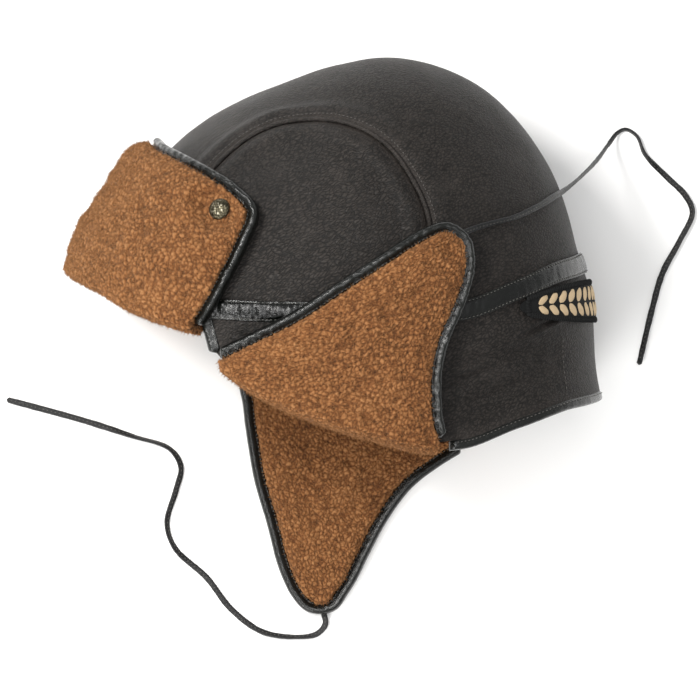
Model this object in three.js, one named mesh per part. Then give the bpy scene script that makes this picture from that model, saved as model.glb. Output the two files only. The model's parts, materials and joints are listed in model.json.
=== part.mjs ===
import * as THREE from 'three';
import { mergeVertices } from 'three/addons/utils/BufferGeometryUtils.js';

// Leather flying helmet with shearling inside, lying on its right side. Millimetres.
// +X is the back of the helmet, +Y its top and +Z its left side. The floor is the plane Z = 0.
// Its right side is pressed flat, the left ear flap is folded up and the right one lies spread.

// Body
const crownReach = 125;      // from the ear point out to the crown's outline
const halfWidth = 88;        // from the middle plane out to either side
const bodyRoundness = 2.2;   // 2 would be an ellipse, more is squarer
const restHeight = 80;       // middle plane above the floor
const settle = 8;            // how softly the pressed side leaves what it lies on
const earBack = 1;           // the ear point from the origin, along X
const earUp = 11;            // and along Y
const neckDrop = 64;         // leather below the band at the back

// Sheets and gaps
const leather = 1.5;
const layerGap = 0.55;
const liningGap = 1;
const edgeGap = 0.8;         // between a sheet's edge and the trim along it
const liningWool = 6;
const flapLift = 2.7;        // the turned-up flaps lie this far over the crown, clear of the band
const flapWool = 8;
const browWool = 11;
const edgeWool = 4.6;        // wool left along the bound edges
const lumpHeight = 2.4;
const foldRoll = 5;          // how far the wool hangs below a fold
const crush = 5.5;           // wool left between the floor and the brow flap's leather

// Trims
const bandWidth = 10;
const bandThick = 1.2;
const bandRise = 25;         // the band climbs this much from the ears to brow and nape
const weltRadius = 1.1;
const weltSides = 4;
const seamAllowance = 1;     // leather edge to band line, hidden by the band
const bindingWidth = 4.6;
const bindingSides = 6;
const hemHeight = 5;
const hemDepth = 7.6;
const hemLeftTurn = 54;      // the bound hem runs this far round from the nape to the left
const hemRightTurn = 46;     // and to the right
const snapRadius = 5.5;
const snapHeight = 2.6;
const patchLength = 150;
const patchHeight = 20;
const patchThick = 1.3;
const patchDrop = 19;        // patch centre below the band at the nape
const patchDroop = 3.5;      // its tips hang this much lower
const tieWidth = 3;
const browTopAngle = 136;    // where the brow flap's upper edge crosses the outline

// Columns and rows of each sheet's grid, or its steps along and around
const grids = {
  centrePanel: [20, 21],
  sidePanel: [11, 8],
  welt: [32, weltSides],
  band: [50, 6],
  neck: [50, 3],
  hem: [24, bindingSides],
  lining: [36, 9],
  earFlap: [9, 9],
  earFlapWool: [9, 12],
  earFlapBinding: [36, bindingSides],
  spreadFlap: [9, 11],
  spreadFlapBinding: [40, bindingSides],
  browFlap: [22, 6],
  browFlapWool: [22, 8],
  browFlapBinding: [64, bindingSides],
  patch: [16, 2],
};

const ear = new THREE.Vector3(earBack, earUp, restHeight);
const degree = Math.PI / 180;

// Crown outline from the side: angle from straight back, reach as a share of crownReach
const crownOutline = [
  { angle: 0, reach: 1.024 },
  { angle: 15, reach: 0.994 },
  { angle: 30, reach: 1.021 },
  { angle: 45, reach: 1.05 },
  { angle: 60, reach: 1.07 },
  { angle: 75, reach: 1.051 },
  { angle: 90, reach: 0.994 },
  { angle: 105, reach: 0.941 },
  { angle: 120, reach: 0.93 },
  { angle: 140, reach: 0.936 },
  { angle: 153, reach: 0.94 },
  { angle: 165, reach: 0.975 },
  { angle: 180, reach: 0.98 },
];

// Reach to the nape and to the brow below the ear line: drop as a share of neckDrop
const napeOutline = [
  { drop: 0, nape: 1.024, brow: 0.98 },
  { drop: 0.3, nape: 1.03, brow: 0.97 },
  { drop: 0.7, nape: 1.06, brow: 0.95 },
  { drop: 1.1, nape: 1.1, brow: 0.93 },
  { drop: 1.6, nape: 1.12, brow: 0.92 },
];

// Band height round the head: turn from straight back, rise as a share of bandRise
const bandLine = [
  { turn: 0, rise: 1 },
  { turn: 20, rise: 0.84 },
  { turn: 36, rise: 0.46 },
  { turn: 53, rise: 0.04 },
  { turn: 70, rise: 0 },
  { turn: 110, rise: 0.02 },
  { turn: 128, rise: 0.08 },
  { turn: 145, rise: 0.45 },
  { turn: 162, rise: 0.98 },
  { turn: 180, rise: 1.18 },
];

// Lower edge of the leather: drop below the band as a share of neckDrop
const lowerEdge = [
  { turn: 0, drop: 1 },
  { turn: 30, drop: 0.99 },
  { turn: 52, drop: 1 },
  { turn: 60, drop: 1.01 },
  { turn: 78, drop: 0.91 },
  { turn: 97, drop: 0.77 },
  { turn: 112, drop: 0.61 },
  { turn: 122, drop: 0.45 },
  { turn: 127, drop: 0.34 },
  { turn: 130, drop: 0.13 },
  { turn: 180, drop: 0.13 },
];

// Seam between side and centre panel, from nape to brow, as shares of crownReach from the ear
const seamLine = [
  { back: 0.385, up: 0 },
  { back: 0.38, up: 0.16 },
  { back: 0.36, up: 0.39 },
  { back: 0.3, up: 0.53 },
  { back: 0.2, up: 0.665 },
  { back: 0.06, up: 0.748 },
  { back: -0.1, up: 0.775 },
  { back: -0.23, up: 0.755 },
  { back: -0.35, up: 0.7 },
  { back: -0.48, up: 0.59 },
  { back: -0.585, up: 0.44 },
  { back: -0.66, up: 0.26 },
  { back: -0.7, up: 0.06 },
];

// Outline of the brow flap on the left half: its end, then its upper edge to the middle plane
const browEnd = [
  { back: -0.53, up: -0.06 },
  { back: -0.45, up: 0.1 },
  { back: -0.37, up: 0.27 },
  { back: -0.33, up: 0.39 },
];
const browTop = [
  { back: -0.33, up: 0.39 },
  { back: -0.39, up: 0.47 },
  { back: -0.54, up: 0.565 },
  { back: -0.645, up: 0.62 },
];

// Outline of the folded left ear flap, from its fold to its tip
const leftFlapFront = [
  { back: -0.476, up: -0.17 },
  { back: -0.31, up: -0.105 },
  { back: -0.148, up: -0.03 },
  { back: 0.012, up: 0.068 },
  { back: 0.172, up: 0.17 },
  { back: 0.34, up: 0.285 },
  { back: 0.42, up: 0.325 },
  { back: 0.46, up: 0.325 },
];
const leftFlapBack = [
  { back: 0.432, up: -0.54 },
  { back: 0.4, up: -0.44 },
  { back: 0.39, up: -0.33 },
  { back: 0.392, up: -0.23 },
  { back: 0.424, up: -0.092 },
  { back: 0.468, up: 0.008 },
  { back: 0.508, up: 0.132 },
  { back: 0.512, up: 0.24 },
  { back: 0.49, up: 0.305 },
];

// Outline of the hanging right ear flap, from the leather's lower edge to its tip
const rightFlapFront = [
  { back: -0.4, up: -0.24 },
  { back: -0.374, up: -0.316 },
  { back: -0.356, up: -0.448 },
  { back: -0.32, up: -0.668 },
  { back: -0.268, up: -0.848 },
  { back: -0.22, up: -1.028 },
  { back: -0.16, up: -1.148 },
  { back: -0.09, up: -1.21 },
];
const rightFlapBack = [
  { back: 0.52, up: -0.536 },
  { back: 0.412, up: -0.6 },
  { back: 0.292, up: -0.692 },
  { back: 0.192, up: -0.824 },
  { back: 0.116, up: -0.964 },
  { back: 0.052, up: -1.092 },
  { back: -0.03, up: -1.205 },
];

// Main dents of the leather: place as shares of crownReach, side 1 left or -1 right
const dents = [
  { back: 0.62, up: 0.62, side: 1, size: 0.22, depth: 0.02 },
  { back: 0.78, up: -0.2, side: 1, size: 0.12, depth: 0.022 },
  { back: 0.62, up: -0.42, side: 1, size: 0.14, depth: 0.026 },
  { back: 0.7, up: 0.5, side: -1, size: 0.25, depth: 0.024 },
  { back: -0.1, up: 0.86, side: 1, size: 0.12, depth: 0.012 },
];

// Routes of the two ties, from their flap's tip to their free end
const leftTieRoute = [
  [62.7, 49.95, 161.1],
  [70, 53, 154.6],
  [78.6, 55.6, 149],
  [88.8, 58.2, 141.6],
  [100.8, 63.8, 128.8],
  [109.6, 69.2, 112],
  [114.8, 72.4, 92],
  [120, 76.5, 72],
  [127, 83, 48],
  [133, 89.5, 24],
  [138.5, 97, 7],
  [143, 102.5, 1.9],
  [147, 104, 1.6],
  [152.5, 100.5, 1.6],
  [156.5, 91.5, 1.6],
  [167.5, 80, 1.6],
  [177, 70.5, 1.6],
  [180.5, 62, 1.6],
  [174, 47.5, 1.6],
  [165.5, 31.5, 1.6],
  [160, 12.5, 1.6],
  [153.5, -15, 1.6],
];
const rightTieRoute = [
  [-6.2, -138.9, 1.6],
  [-5, -146, 1.6],
  [-9, -150.8, 1.6],
  [-17.5, -152.5, 1.6],
  [-36.5, -150, 1.6],
  [-52.5, -138.5, 1.6],
  [-65, -122.5, 1.6],
  [-81, -107.5, 1.6],
  [-85, -95, 1.6],
  [-80.5, -78.5, 1.6],
  [-78, -66.5, 1.6],
  [-83.5, -57.5, 1.6],
  [-102.5, -51, 1.6],
  [-127.5, -43, 1.6],
  [-166, -32.5, 1.6],
];

// The snap caps' place on the brow flap, as shares of crownReach
const snapPlace = { back: -0.437, up: 0.385 };

// Value of a table's column, smooth between its rows and never past them
function tableValue(rows, placeColumn, column, at) {
  const last = rows.length - 1;
  const place = THREE.MathUtils.clamp(at, rows[0][placeColumn], rows[last][placeColumn]);
  let i = 0;
  while (i < last - 1 && rows[i + 1][placeColumn] < place) i += 1;
  const stepOf = (k) => rows[k + 1][placeColumn] - rows[k][placeColumn];
  const riseOf = (k) => rows[k + 1][column] - rows[k][column];
  const slopeBetween = (k) => (k < 0 || k >= last ? 0 : riseOf(k) / stepOf(k));
  const slopeAt = (k) => {
    const before = slopeBetween(k - 1);
    const after = slopeBetween(k);
    return before * after <= 0 ? 0 : (2 * before * after) / (before + after);
  };
  const t = (place - rows[i][placeColumn]) / stepOf(i);
  const rise = rows[i + 1][column] - rows[i][column];
  const start = slopeAt(i) * stepOf(i);
  const end = slopeAt(i + 1) * stepOf(i);
  return rows[i][column] + start * t + (3 * rise - 2 * start - end) * t ** 2
    + (start + end - 2 * rise) * t ** 3;
}

// Turn round the head folded to 0 at the nape and 180 at the brow, alike on both sides
function foldTurn(turn) {
  return Math.abs(((turn + 540) % 360) - 180);
}

function turnOf(offset) {
  return Math.atan2(offset.z, offset.x) / degree;
}

function bandHeight(turn) {
  return earUp + bandRise * tableValue(bandLine, 'turn', 'rise', foldTurn(turn));
}

function lowerHeight(turn) {
  return bandHeight(turn) - neckDrop * tableValue(lowerEdge, 'turn', 'drop', foldTurn(turn));
}

// 0 in the middle of a side, 1 on the outline seen from that side
function outlineShare(back, up) {
  if (up >= 0) {
    const angle = Math.atan2(up, back) / degree;
    return Math.hypot(back, up) / (crownReach * tableValue(crownOutline, 'angle', 'reach', angle));
  }
  const column = back > 0 ? 'nape' : 'brow';
  return Math.abs(back) / (crownReach * tableValue(napeOutline, 'drop', column, -up / neckDrop));
}

// Below 0 inside the body, above 0 outside. Offsets are taken from the ear point, unpressed
function bodyField(offset) {
  const share = outlineShare(offset.x, offset.y);
  return share ** bodyRoundness + (Math.abs(offset.z) / halfWidth) ** bodyRoundness - 1;
}

function bodySlope(offset) {
  const step = 0.5;
  const slope = new THREE.Vector3();
  for (const axis of ['x', 'y', 'z']) {
    const ahead = offset.clone();
    const behind = offset.clone();
    ahead[axis] += step;
    behind[axis] -= step;
    slope[axis] = bodyField(ahead) - bodyField(behind);
  }
  return slope.normalize();
}

// Where a line from a point inside meets the body
function bodyMeets(start, direction) {
  const unit = direction.clone().normalize();
  let inside = 0;
  let outside = 2.5 * crownReach;
  for (let i = 0; i < 36; i += 1) {
    const middle = (inside + outside) / 2;
    if (bodyField(start.clone().addScaledVector(unit, middle)) < 0) inside = middle;
    else outside = middle;
  }
  return start.clone().addScaledVector(unit, inside);
}

// On the body at a height and a turn from straight back, + towards the left side
function ringOffset(height, turn) {
  const direction = new THREE.Vector3(Math.cos(turn * degree), 0, Math.sin(turn * degree));
  return bodyMeets(new THREE.Vector3(0, height - earUp, 0), direction);
}

// On the body at a place seen from one side
function sideOffset(back, up, side) {
  const share = Math.min(outlineShare(back, up), 0.999);
  const depth = halfWidth * (1 - share ** bodyRoundness) ** (1 / bodyRoundness);
  return new THREE.Vector3(back, up, side * depth);
}

function dentDepth(offset) {
  let depth = 0;
  for (const dent of dents) {
    const away = Math.hypot(offset.x - dent.back * crownReach, offset.y - dent.up * crownReach);
    const spread = away / (dent.size * crownReach);
    const onSide = 1 - fade(offset.z * dent.side, 0, halfWidth * 0.4);
    depth += onSide * dent.depth * crownReach * Math.exp(-spread * spread);
  }
  return depth;
}

// From 1 down to 0 as a value passes from one place to another
function fade(value, from, to) {
  return 1 - THREE.MathUtils.smoothstep(value, from, to);
}

// Height of what lies between the floor and the pressed leather: the band or the brow flap
function stackUnder(offset) {
  const bandStack = bandThick + 2 * layerGap;
  const flapStack = flapLift + leather + layerGap + crush;
  const flapEdge = crownReach * -0.42 + 0.3 * Math.max(0, offset.y);
  const beforeEdge = fade(offset.x, flapEdge, flapEdge + crownReach * 0.3);
  const underFlap = beforeEdge * fade(-offset.y, bandWidth, bandWidth * 3);
  return THREE.MathUtils.lerp(bandStack, flapStack, underFlap);
}

// The outside of the leather over a body offset, with the right side pressed onto its support
function leatherFrame(offset) {
  const normal = bodySlope(offset);
  const point = ear.clone().add(offset).addScaledVector(normal, -dentDepth(offset));
  const support = stackUnder(offset);
  const over = THREE.MathUtils.clamp(point.z - support, -settle, settle);
  const eased = (over + settle) / (2 * settle);
  if (over < settle) point.z = support + settle * eased ** 2;
  normal.x *= eased;
  normal.y *= eased;
  return { point, normal: normal.normalize() };
}

function raised(frame, height) {
  return frame.point.clone().addScaledVector(frame.normal, height);
}

// As raised, but stopped by the floor or by the right snap cap that lies on it
function raisedOnFloor(frame, height) {
  const point = raised(frame, height);
  const snap = snapCentre(-1);
  const away = Math.hypot(point.x - snap.x, point.y - snap.y);
  const room = snapRadius * 3;
  const support = (snapHeight + layerGap) * fade(away, room, room * 2);
  point.z = Math.max(point.z, point.z < ear.z ? support : 0);
  return point;
}

function snapCentre(side) {
  return ear.clone().add(sideOffset(snapPlace.back * crownReach, snapPlace.up * crownReach, side));
}

// Smooth curve through a table's rows, on one side of the body
function curveOn(rows, side) {
  const points = rows.map((row) => sideOffset(row.back * crownReach, row.up * crownReach, side));
  return new THREE.CatmullRomCurve3(points, false, 'centripetal');
}

// Smooth patch between four edges: bottom and top run along u, left and right along v
function edgePatch(bottom, top, left, right) {
  return (u, v) => {
    const across = left(v).multiplyScalar(1 - u).addScaledVector(right(v), u);
    const along = bottom(u).multiplyScalar(1 - v).addScaledVector(top(u), v);
    const corners = bottom(0).multiplyScalar((1 - u) * (1 - v))
      .addScaledVector(bottom(1), u * (1 - v))
      .addScaledVector(top(0), (1 - u) * v)
      .addScaledVector(top(1), u * v);
    return across.add(along).sub(corners);
  };
}

function turnFacesOut(geometry) {
  const { index } = geometry;
  const { position } = geometry.attributes;
  const corners = [new THREE.Vector3(), new THREE.Vector3(), new THREE.Vector3()];
  let volume = 0;
  for (let i = 0; i < index.count; i += 3) {
    corners.forEach((corner, k) => corner.fromBufferAttribute(position, index.getX(i + k)));
    volume += corners[0].dot(corners[1].clone().cross(corners[2]));
  }
  if (volume > 0) return;
  for (let i = 0; i < index.count; i += 3) {
    const second = index.getX(i + 1);
    index.setX(i + 1, index.getX(i + 2));
    index.setX(i + 2, second);
  }
}

// Moves the corners of a closed geometry to new places
function bend(geometry, place) {
  geometry.deleteAttribute('normal');
  geometry.deleteAttribute('uv');
  const merged = mergeVertices(geometry, 1e-5);
  const { position } = merged.attributes;
  const corner = new THREE.Vector3();
  for (let i = 0; i < position.count; i += 1) {
    corner.fromBufferAttribute(position, i);
    position.setXYZ(i, ...place(corner).toArray());
  }
  turnFacesOut(merged);
  return merged;
}

// A sheet: place(u, v, w) with w 0 on its inside and 1 on its outside
function sheet(columns, rows, place) {
  const box = new THREE.BoxGeometry(1, 1, 1, columns, rows, 1);
  return bend(box, (corner) => place(corner.x + 0.5, corner.y + 0.5, corner.z + 0.5));
}

// Share of a full circle, from 0 up to 1
function circleShare(sine, cosine) {
  return (Math.atan2(sine, cosine) / (2 * Math.PI) + 1) % 1;
}

// A closed ring: place(share round it, index of the section's corner)
function ring(columns, sectionCount, place) {
  const radius = 3;
  const torus = new THREE.TorusGeometry(radius, 1, sectionCount, columns);
  return bend(torus, (corner) => {
    const outward = Math.hypot(corner.x, corner.y) - radius;
    const index = Math.round(circleShare(corner.z, outward) * sectionCount) % sectionCount;
    return place(circleShare(corner.y, corner.x), index);
  });
}

// A bar along a path: place(share along it, index of the section's corner)
function bar(steps, sectionCount, place) {
  const cylinder = new THREE.CylinderGeometry(1, 1, 1, sectionCount, steps);
  return bend(cylinder, (corner) => {
    const along = corner.y + 0.5;
    if (Math.hypot(corner.x, corner.z) > 0.5) {
      return place(along, Math.round(circleShare(corner.x, corner.z) * sectionCount) % sectionCount);
    }
    const middle = new THREE.Vector3();
    for (let k = 0; k < sectionCount; k += 1) middle.add(place(along, k));
    return middle.divideScalar(sectionCount);
  });
}

// A cup: place(turn, share from its top to its rim, whether it is on the inside)
function cup(columns, rows, place) {
  const count = 2 * rows + 1;
  const ball = new THREE.SphereGeometry(1, columns, count);
  return bend(ball, (corner) => {
    const k = Math.round((Math.acos(THREE.MathUtils.clamp(corner.y, -1, 1)) / Math.PI) * count);
    const inside = k > rows;
    return place(circleShare(corner.z, corner.x) * 360, (inside ? count - k : k) / rows, inside);
  });
}

// Soft lumps of curled wool, from -1 to 1
function lump(a, b) {
  return Math.sin(a * 0.31 + 1.7 * Math.sin(b * 0.17)) * Math.sin(b * 0.37 + 1.3 * Math.sin(a * 0.19 + 2));
}

// Wool thickness over a turned-up flap: thin at its bound edges, full and lumpy between
function woolThickness(full, u, v, point) {
  const fromEdge = Math.min(1, 5 * Math.min(u, 1 - u, 1 - v));
  const body = edgeWool + (full - edgeWool) * Math.sqrt(fromEdge * (2 - fromEdge));
  return body + lumpHeight * 0.5 * fromEdge * lump(point.x, point.y);
}

const materials = {
  leather: new THREE.MeshStandardMaterial({ color: 0x3a3430, roughness: 0.5, metalness: 0 }),
  trim: new THREE.MeshStandardMaterial({ color: 0x20201c, roughness: 0.35, metalness: 0 }),
  wool: new THREE.MeshStandardMaterial({ color: 0x9a6238, roughness: 1, metalness: 0 }),
  metal: new THREE.MeshStandardMaterial({ color: 0x57524c, roughness: 0.4, metalness: 1 }),
  patch: new THREE.MeshStandardMaterial({ color: 0xb9a88c, roughness: 0.9, metalness: 0 }),
  lace: new THREE.MeshStandardMaterial({ color: 0x17171a, roughness: 0.55, metalness: 0 }),
};

const group = new THREE.Group();

function addPiece(name, geometry, material) {
  const mesh = new THREE.Mesh(geometry, material);
  mesh.name = name;
  group.add(mesh);
  return mesh;
}

// Crown

const centre = new THREE.Vector3();
const sideNames = { 1: 'left', '-1': 'right' };

// The seam's curve on the body and its shares where it meets the band
function seamOf(side) {
  const curve = curveOn(seamLine, side);
  const step = 0.002;
  const aboveBand = (share) => {
    const here = curve.getPointAt(share);
    return here.y + earUp > bandHeight(turnOf(here)) + seamAllowance;
  };
  let start = 0;
  let end = 1;
  while (!aboveBand(start)) start += step;
  while (!aboveBand(end)) end -= step;
  return { curve, start, end };
}

const seams = { 1: seamOf(1), '-1': seamOf(-1) };

// The seam's line moved across itself, + towards the crown's top
function seamEdge(side, shift, from = 0, to = 1) {
  const { curve, start, end } = seams[side];
  return (t) => {
    const share = THREE.MathUtils.lerp(start, end, THREE.MathUtils.lerp(from, to, t));
    const here = curve.getPointAt(share);
    const across = bodySlope(here).cross(curve.getTangentAt(share)).normalize();
    return here.addScaledVector(across, -side * shift);
  };
}

// The crown's lower edge from one turn round the head to another
function crownFoot(fromTurn, toTurn) {
  return (t) => {
    const turn = THREE.MathUtils.lerp(fromTurn, toTurn, t);
    return ringOffset(bandHeight(turn) + seamAllowance, turn);
  };
}

function crownLeather(patch) {
  return (u, v, w) => raised(leatherFrame(bodyMeets(centre, patch(u, v))), (w - 1) * leather);
}

function addCentrePanel() {
  const shift = weltRadius + edgeGap;
  const left = seamEdge(1, shift);
  const right = seamEdge(-1, shift);
  const nape = crownFoot(turnOf(left(0)), turnOf(right(0)));
  const brow = crownFoot(turnOf(left(1)), 360 + turnOf(right(1)));
  const patch = edgePatch(left, right, nape, brow);
  addPiece('crown_centre_panel', sheet(...grids.centrePanel, crownLeather(patch)), materials.leather);
}

// A side panel is a D: the two ends of its seam are the sides of the patch, the arc is its top
function addSidePanel(side) {
  const shift = -weltRadius - edgeGap;
  const corner = 0.22;
  const napeEnd = seamEdge(side, shift, 0, corner);
  const browEnd = seamEdge(side, shift, 1, 1 - corner);
  const arc = seamEdge(side, shift, 1 - corner, corner);
  const foot = crownFoot(turnOf(browEnd(0)), turnOf(napeEnd(0)));
  const patch = edgePatch(foot, arc, browEnd, napeEnd);
  const solid = sheet(...grids.sidePanel, crownLeather(patch));
  addPiece(`crown_${sideNames[side]}_panel`, solid, materials.leather);
}

function addWelt(side) {
  const { curve, start, end } = seams[side];
  const clearOfBand = (bandWidth / 2 + weltRadius + layerGap) / curve.getLength();
  const place = (along, k) => {
    const share = THREE.MathUtils.lerp(start + clearOfBand, end - clearOfBand, along);
    const frame = leatherFrame(curve.getPointAt(share));
    const across = frame.normal.clone().cross(curve.getTangentAt(share)).normalize();
    const around = (k / weltSides) * 2 * Math.PI;
    return raisedOnFloor(frame, weltRadius * (Math.cos(around) - 0.2))
      .addScaledVector(across, weltRadius * Math.sin(around));
  };
  addPiece(`crown_${sideNames[side]}_welt`, bar(...grids.welt, place), materials.trim);
}

// Band, neck and lining

// Corners of a flat strip laid on the leather, as shares of its width and thickness
const stripSection = [
  { across: -0.5, up: 0.85 },
  { across: 0, up: 1 },
  { across: 0.5, up: 0.85 },
  { across: 0.5, up: 0 },
  { across: 0, up: 0 },
  { across: -0.5, up: 0 },
];

function addBand() {
  const place = (round, k) => {
    const turn = round * 360;
    const height = bandHeight(turn) + stripSection[k].across * bandWidth;
    return raised(leatherFrame(ringOffset(height, turn)), layerGap + stripSection[k].up * bandThick);
  };
  addPiece('band', ring(...grids.band, place), materials.trim);
}

function addNeck() {
  const [columns, rows] = grids.neck;
  const place = (round, k) => {
    const turn = round * 360;
    const onOutside = k <= rows;
    const share = (onOutside ? k : 2 * rows + 1 - k) / rows;
    const height = THREE.MathUtils.lerp(bandHeight(turn) - seamAllowance, lowerHeight(turn), share);
    return raised(leatherFrame(ringOffset(height, turn)), onOutside ? 0 : -leather);
  };
  addPiece('neck', ring(columns, 2 * rows + 2, place), materials.leather);
}

// Corner of a rounded square bar, each way from -1 to 1
function barCorner(k) {
  const around = ((k + 0.5) / bindingSides) * 2 * Math.PI;
  const bulge = (value) => Math.sign(value) * Math.abs(value) ** 0.6;
  return { across: bulge(Math.cos(around)), up: bulge(Math.sin(around)) };
}

function addHemBinding() {
  const place = (along, k) => {
    const turn = THREE.MathUtils.lerp(hemLeftTurn, -hemRightTurn, along);
    const { across, up } = barCorner(k);
    const down = layerGap + hemHeight * (0.5 - 0.5 * across);
    const frame = leatherFrame(ringOffset(lowerHeight(turn) - down, turn));
    return raisedOnFloor(frame, layerGap + hemDepth * (0.5 * up - 0.5));
  };
  addPiece('hem_binding', bar(...grids.hem, place), materials.trim);
}

// The wool inside, from the top of the head down to the neck's lower edge
function addLining() {
  const crownShare = 0.68;
  const up = new THREE.Vector3(0, 1, 0);
  const frameAt = (turn, share) => {
    const foot = ringOffset(bandHeight(turn), turn);
    if (share < crownShare) {
      const lean = up.angleTo(foot) * (share / crownShare);
      const axis = up.clone().cross(foot).normalize();
      return leatherFrame(bodyMeets(centre, up.clone().applyAxisAngle(axis, lean)));
    }
    const lowest = lowerHeight(turn) + 3 * layerGap;
    const drop = (share - crownShare) / (1 - crownShare);
    return leatherFrame(ringOffset(THREE.MathUtils.lerp(bandHeight(turn), lowest, drop), turn));
  };
  const place = (turn, share, inside) => {
    const depth = leather + liningGap + (inside ? liningWool : 0);
    return raised(frameAt(turn, share), -depth);
  };
  addPiece('wool_lining', cup(...grids.lining, place), materials.wool);
}

// Turned-up flaps

// Wool round a fold: straight up the flap for folded shares over 0, rolled under it below 0
function foldedWool(frameAt, thickness) {
  const outerTop = flapLift + leather + layerGap;
  const insideDeep = leather + liningGap + liningWool;
  const rollShare = 0.25;
  return (u, v, w) => {
    if (v >= rollShare) {
      const frame = frameAt(u, (v - rollShare) / (1 - rollShare), 0);
      return raisedOnFloor(frame, outerTop + w * thickness(u, (v - rollShare) / (1 - rollShare), frame));
    }
    const around = (1 - v / rollShare) * Math.PI;
    const full = w * thickness(u, 0, frameAt(u, 0, 0));
    const high = outerTop + full;
    const low = w ? -insideDeep : -leather - liningGap;
    const down = liningGap + (w ? foldRoll : layerGap) * Math.sin(around);
    return raisedOnFloor(frameAt(u, 0, down), (high + low) / 2 + ((high - low) / 2) * Math.cos(around));
  };
}

// Moves a curve's point sideways in the plane of the sides, + towards the left of its run
function insetPoint(curve, share, inset) {
  const here = curve.getPointAt(share);
  const tangent = curve.getTangentAt(share);
  const length = Math.hypot(tangent.x, tangent.y);
  const side = Math.sign(here.z);
  return sideOffset(here.x - (tangent.y / length) * inset, here.y + (tangent.x / length) * inset, side);
}

// Edges of an ear flap inside its binding, from the fold to where they come together at the tip
function flapEdges(frontRows, backRows, side, lift) {
  const front = curveOn(frontRows, side);
  const back = curveOn(backRows, side);
  const pastFold = (here) => side * (here.y + earUp - lowerHeight(turnOf(here)) - lift);
  const shareAtFold = (curve, inset, clear) => {
    let share = 0;
    while (pastFold(insetPoint(curve, share, inset)) < clear) share += 0.002;
    return share;
  };
  const inset = side * (bindingWidth + edgeGap);
  let end = 1;
  const width = (share) => insetPoint(back, share, inset).x - insetPoint(front, share, -inset).x;
  while (width(end) < bindingWidth * 1.8) end -= 0.01;
  const edge = (curve, sideways) => {
    const start = shareAtFold(curve, sideways, 0);
    return (t) => insetPoint(curve, THREE.MathUtils.lerp(start, end, t), sideways);
  };
  const rimEdge = (curve, sideways) => {
    const start = shareAtFold(curve, sideways, bindingWidth * 0.5);
    return (t) => insetPoint(curve, THREE.MathUtils.lerp(start, 0.97, t), sideways);
  };
  return {
    front: edge(front, -inset),
    back: edge(back, inset),
    rim: rimCurve(rimEdge(front, -side * bindingWidth * 0.5), rimEdge(back, side * bindingWidth * 0.5)),
  };
}

// Middle line of the binding, up the front edge, round the tip and down the back edge
function rimCurve(front, back) {
  const steps = 12;
  const points = [];
  for (let i = 0; i <= steps; i += 1) points.push(front(i / steps));
  for (let i = steps; i >= 0; i -= 1) points.push(back(i / steps));
  return new THREE.CatmullRomCurve3(points, false, 'centripetal');
}

function foldLine(fromTurn, toTurn, lift) {
  return (t) => {
    const turn = THREE.MathUtils.lerp(fromTurn, toTurn, t);
    return ringOffset(lowerHeight(turn) + lift, turn);
  };
}

// Smooth patch over an ear flap, from its fold to its tip
function flapPatch(front, back, lift) {
  const fold = foldLine(turnOf(front(0)), turnOf(back(0)), lift);
  const tip = (t) => front(1).lerp(back(1), t);
  return edgePatch(fold, tip, front, back);
}

// A bound edge: place for a bar round a curve of body offsets, between two heights
function boundEdge(frameOf, curve, from, to) {
  return (along, k) => {
    const { across, up } = barCorner(k);
    const frame = frameOf(curve.getPointAt(along));
    const sideways = frame.normal.clone().cross(curve.getTangentAt(along)).normalize();
    const point = raisedOnFloor(frame, from + (to - from) * (0.5 + 0.5 * up));
    return point.addScaledVector(sideways, across * bindingWidth * 0.5);
  };
}

function addLeftFlap() {
  const { front, back, rim } = flapEdges(leftFlapFront, leftFlapBack, 1, 0);
  const patch = flapPatch(front, back, 0);
  const frameAt = (u, v, down) => {
    const spot = patch(u, v);
    return leatherFrame(sideOffset(spot.x, spot.y - down, 1));
  };
  const flap = (u, v, w) => raised(frameAt(u, v, 0), flapLift + w * leather);
  const thickness = (u, v, frame) => woolThickness(flapWool, u, v, frame.point);
  const outer = flapLift + leather + layerGap + edgeWool;
  addPiece('left_ear_flap', sheet(...grids.earFlap, flap), materials.leather);
  addPiece('left_flap_wool', sheet(...grids.earFlapWool, foldedWool(frameAt, thickness)), materials.wool);
  const binding = boundEdge(leatherFrame, rim, flapLift, outer);
  addPiece('left_flap_binding', bar(...grids.earFlapBinding, binding), materials.trim);
}

// Leather frame of the right flap, which runs on from the neck and lies down on the floor
function spreadFrame(offset) {
  const frame = leatherFrame(offset);
  const below = lowerHeight(turnOf(offset)) - (offset.y + earUp);
  const loose = fade(below, 0, neckDrop * 0.35);
  frame.point.z *= loose;
  frame.normal.set(frame.normal.x * loose, frame.normal.y * loose, frame.normal.z).normalize();
  return frame;
}

function addRightFlap() {
  const belowNeck = -edgeGap;
  const { front, back, rim } = flapEdges(rightFlapFront, rightFlapBack, -1, belowNeck);
  const patch = flapPatch(front, back, belowNeck);
  const frameAt = (u, v) => {
    const spot = patch(u, v);
    return spreadFrame(sideOffset(spot.x, spot.y, -1));
  };
  const flap = (u, v, w) => raised(frameAt(u, v), -w * leather);
  const wool = (u, v, w) => {
    const frame = frameAt(u, v);
    const full = woolThickness(flapWool, u, v, frame.point);
    const thickness = THREE.MathUtils.lerp(liningWool, full, Math.min(1, v * 4));
    return raised(frame, -leather - layerGap - w * thickness);
  };
  addPiece('right_ear_flap', sheet(...grids.spreadFlap, flap), materials.leather);
  addPiece('right_flap_wool', sheet(...grids.spreadFlap, wool), materials.wool);
  const binding = boundEdge(spreadFrame, rim, -leather - layerGap - edgeWool, 0);
  addPiece('right_flap_binding', bar(...grids.spreadFlapBinding, binding), materials.trim);
}

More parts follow.
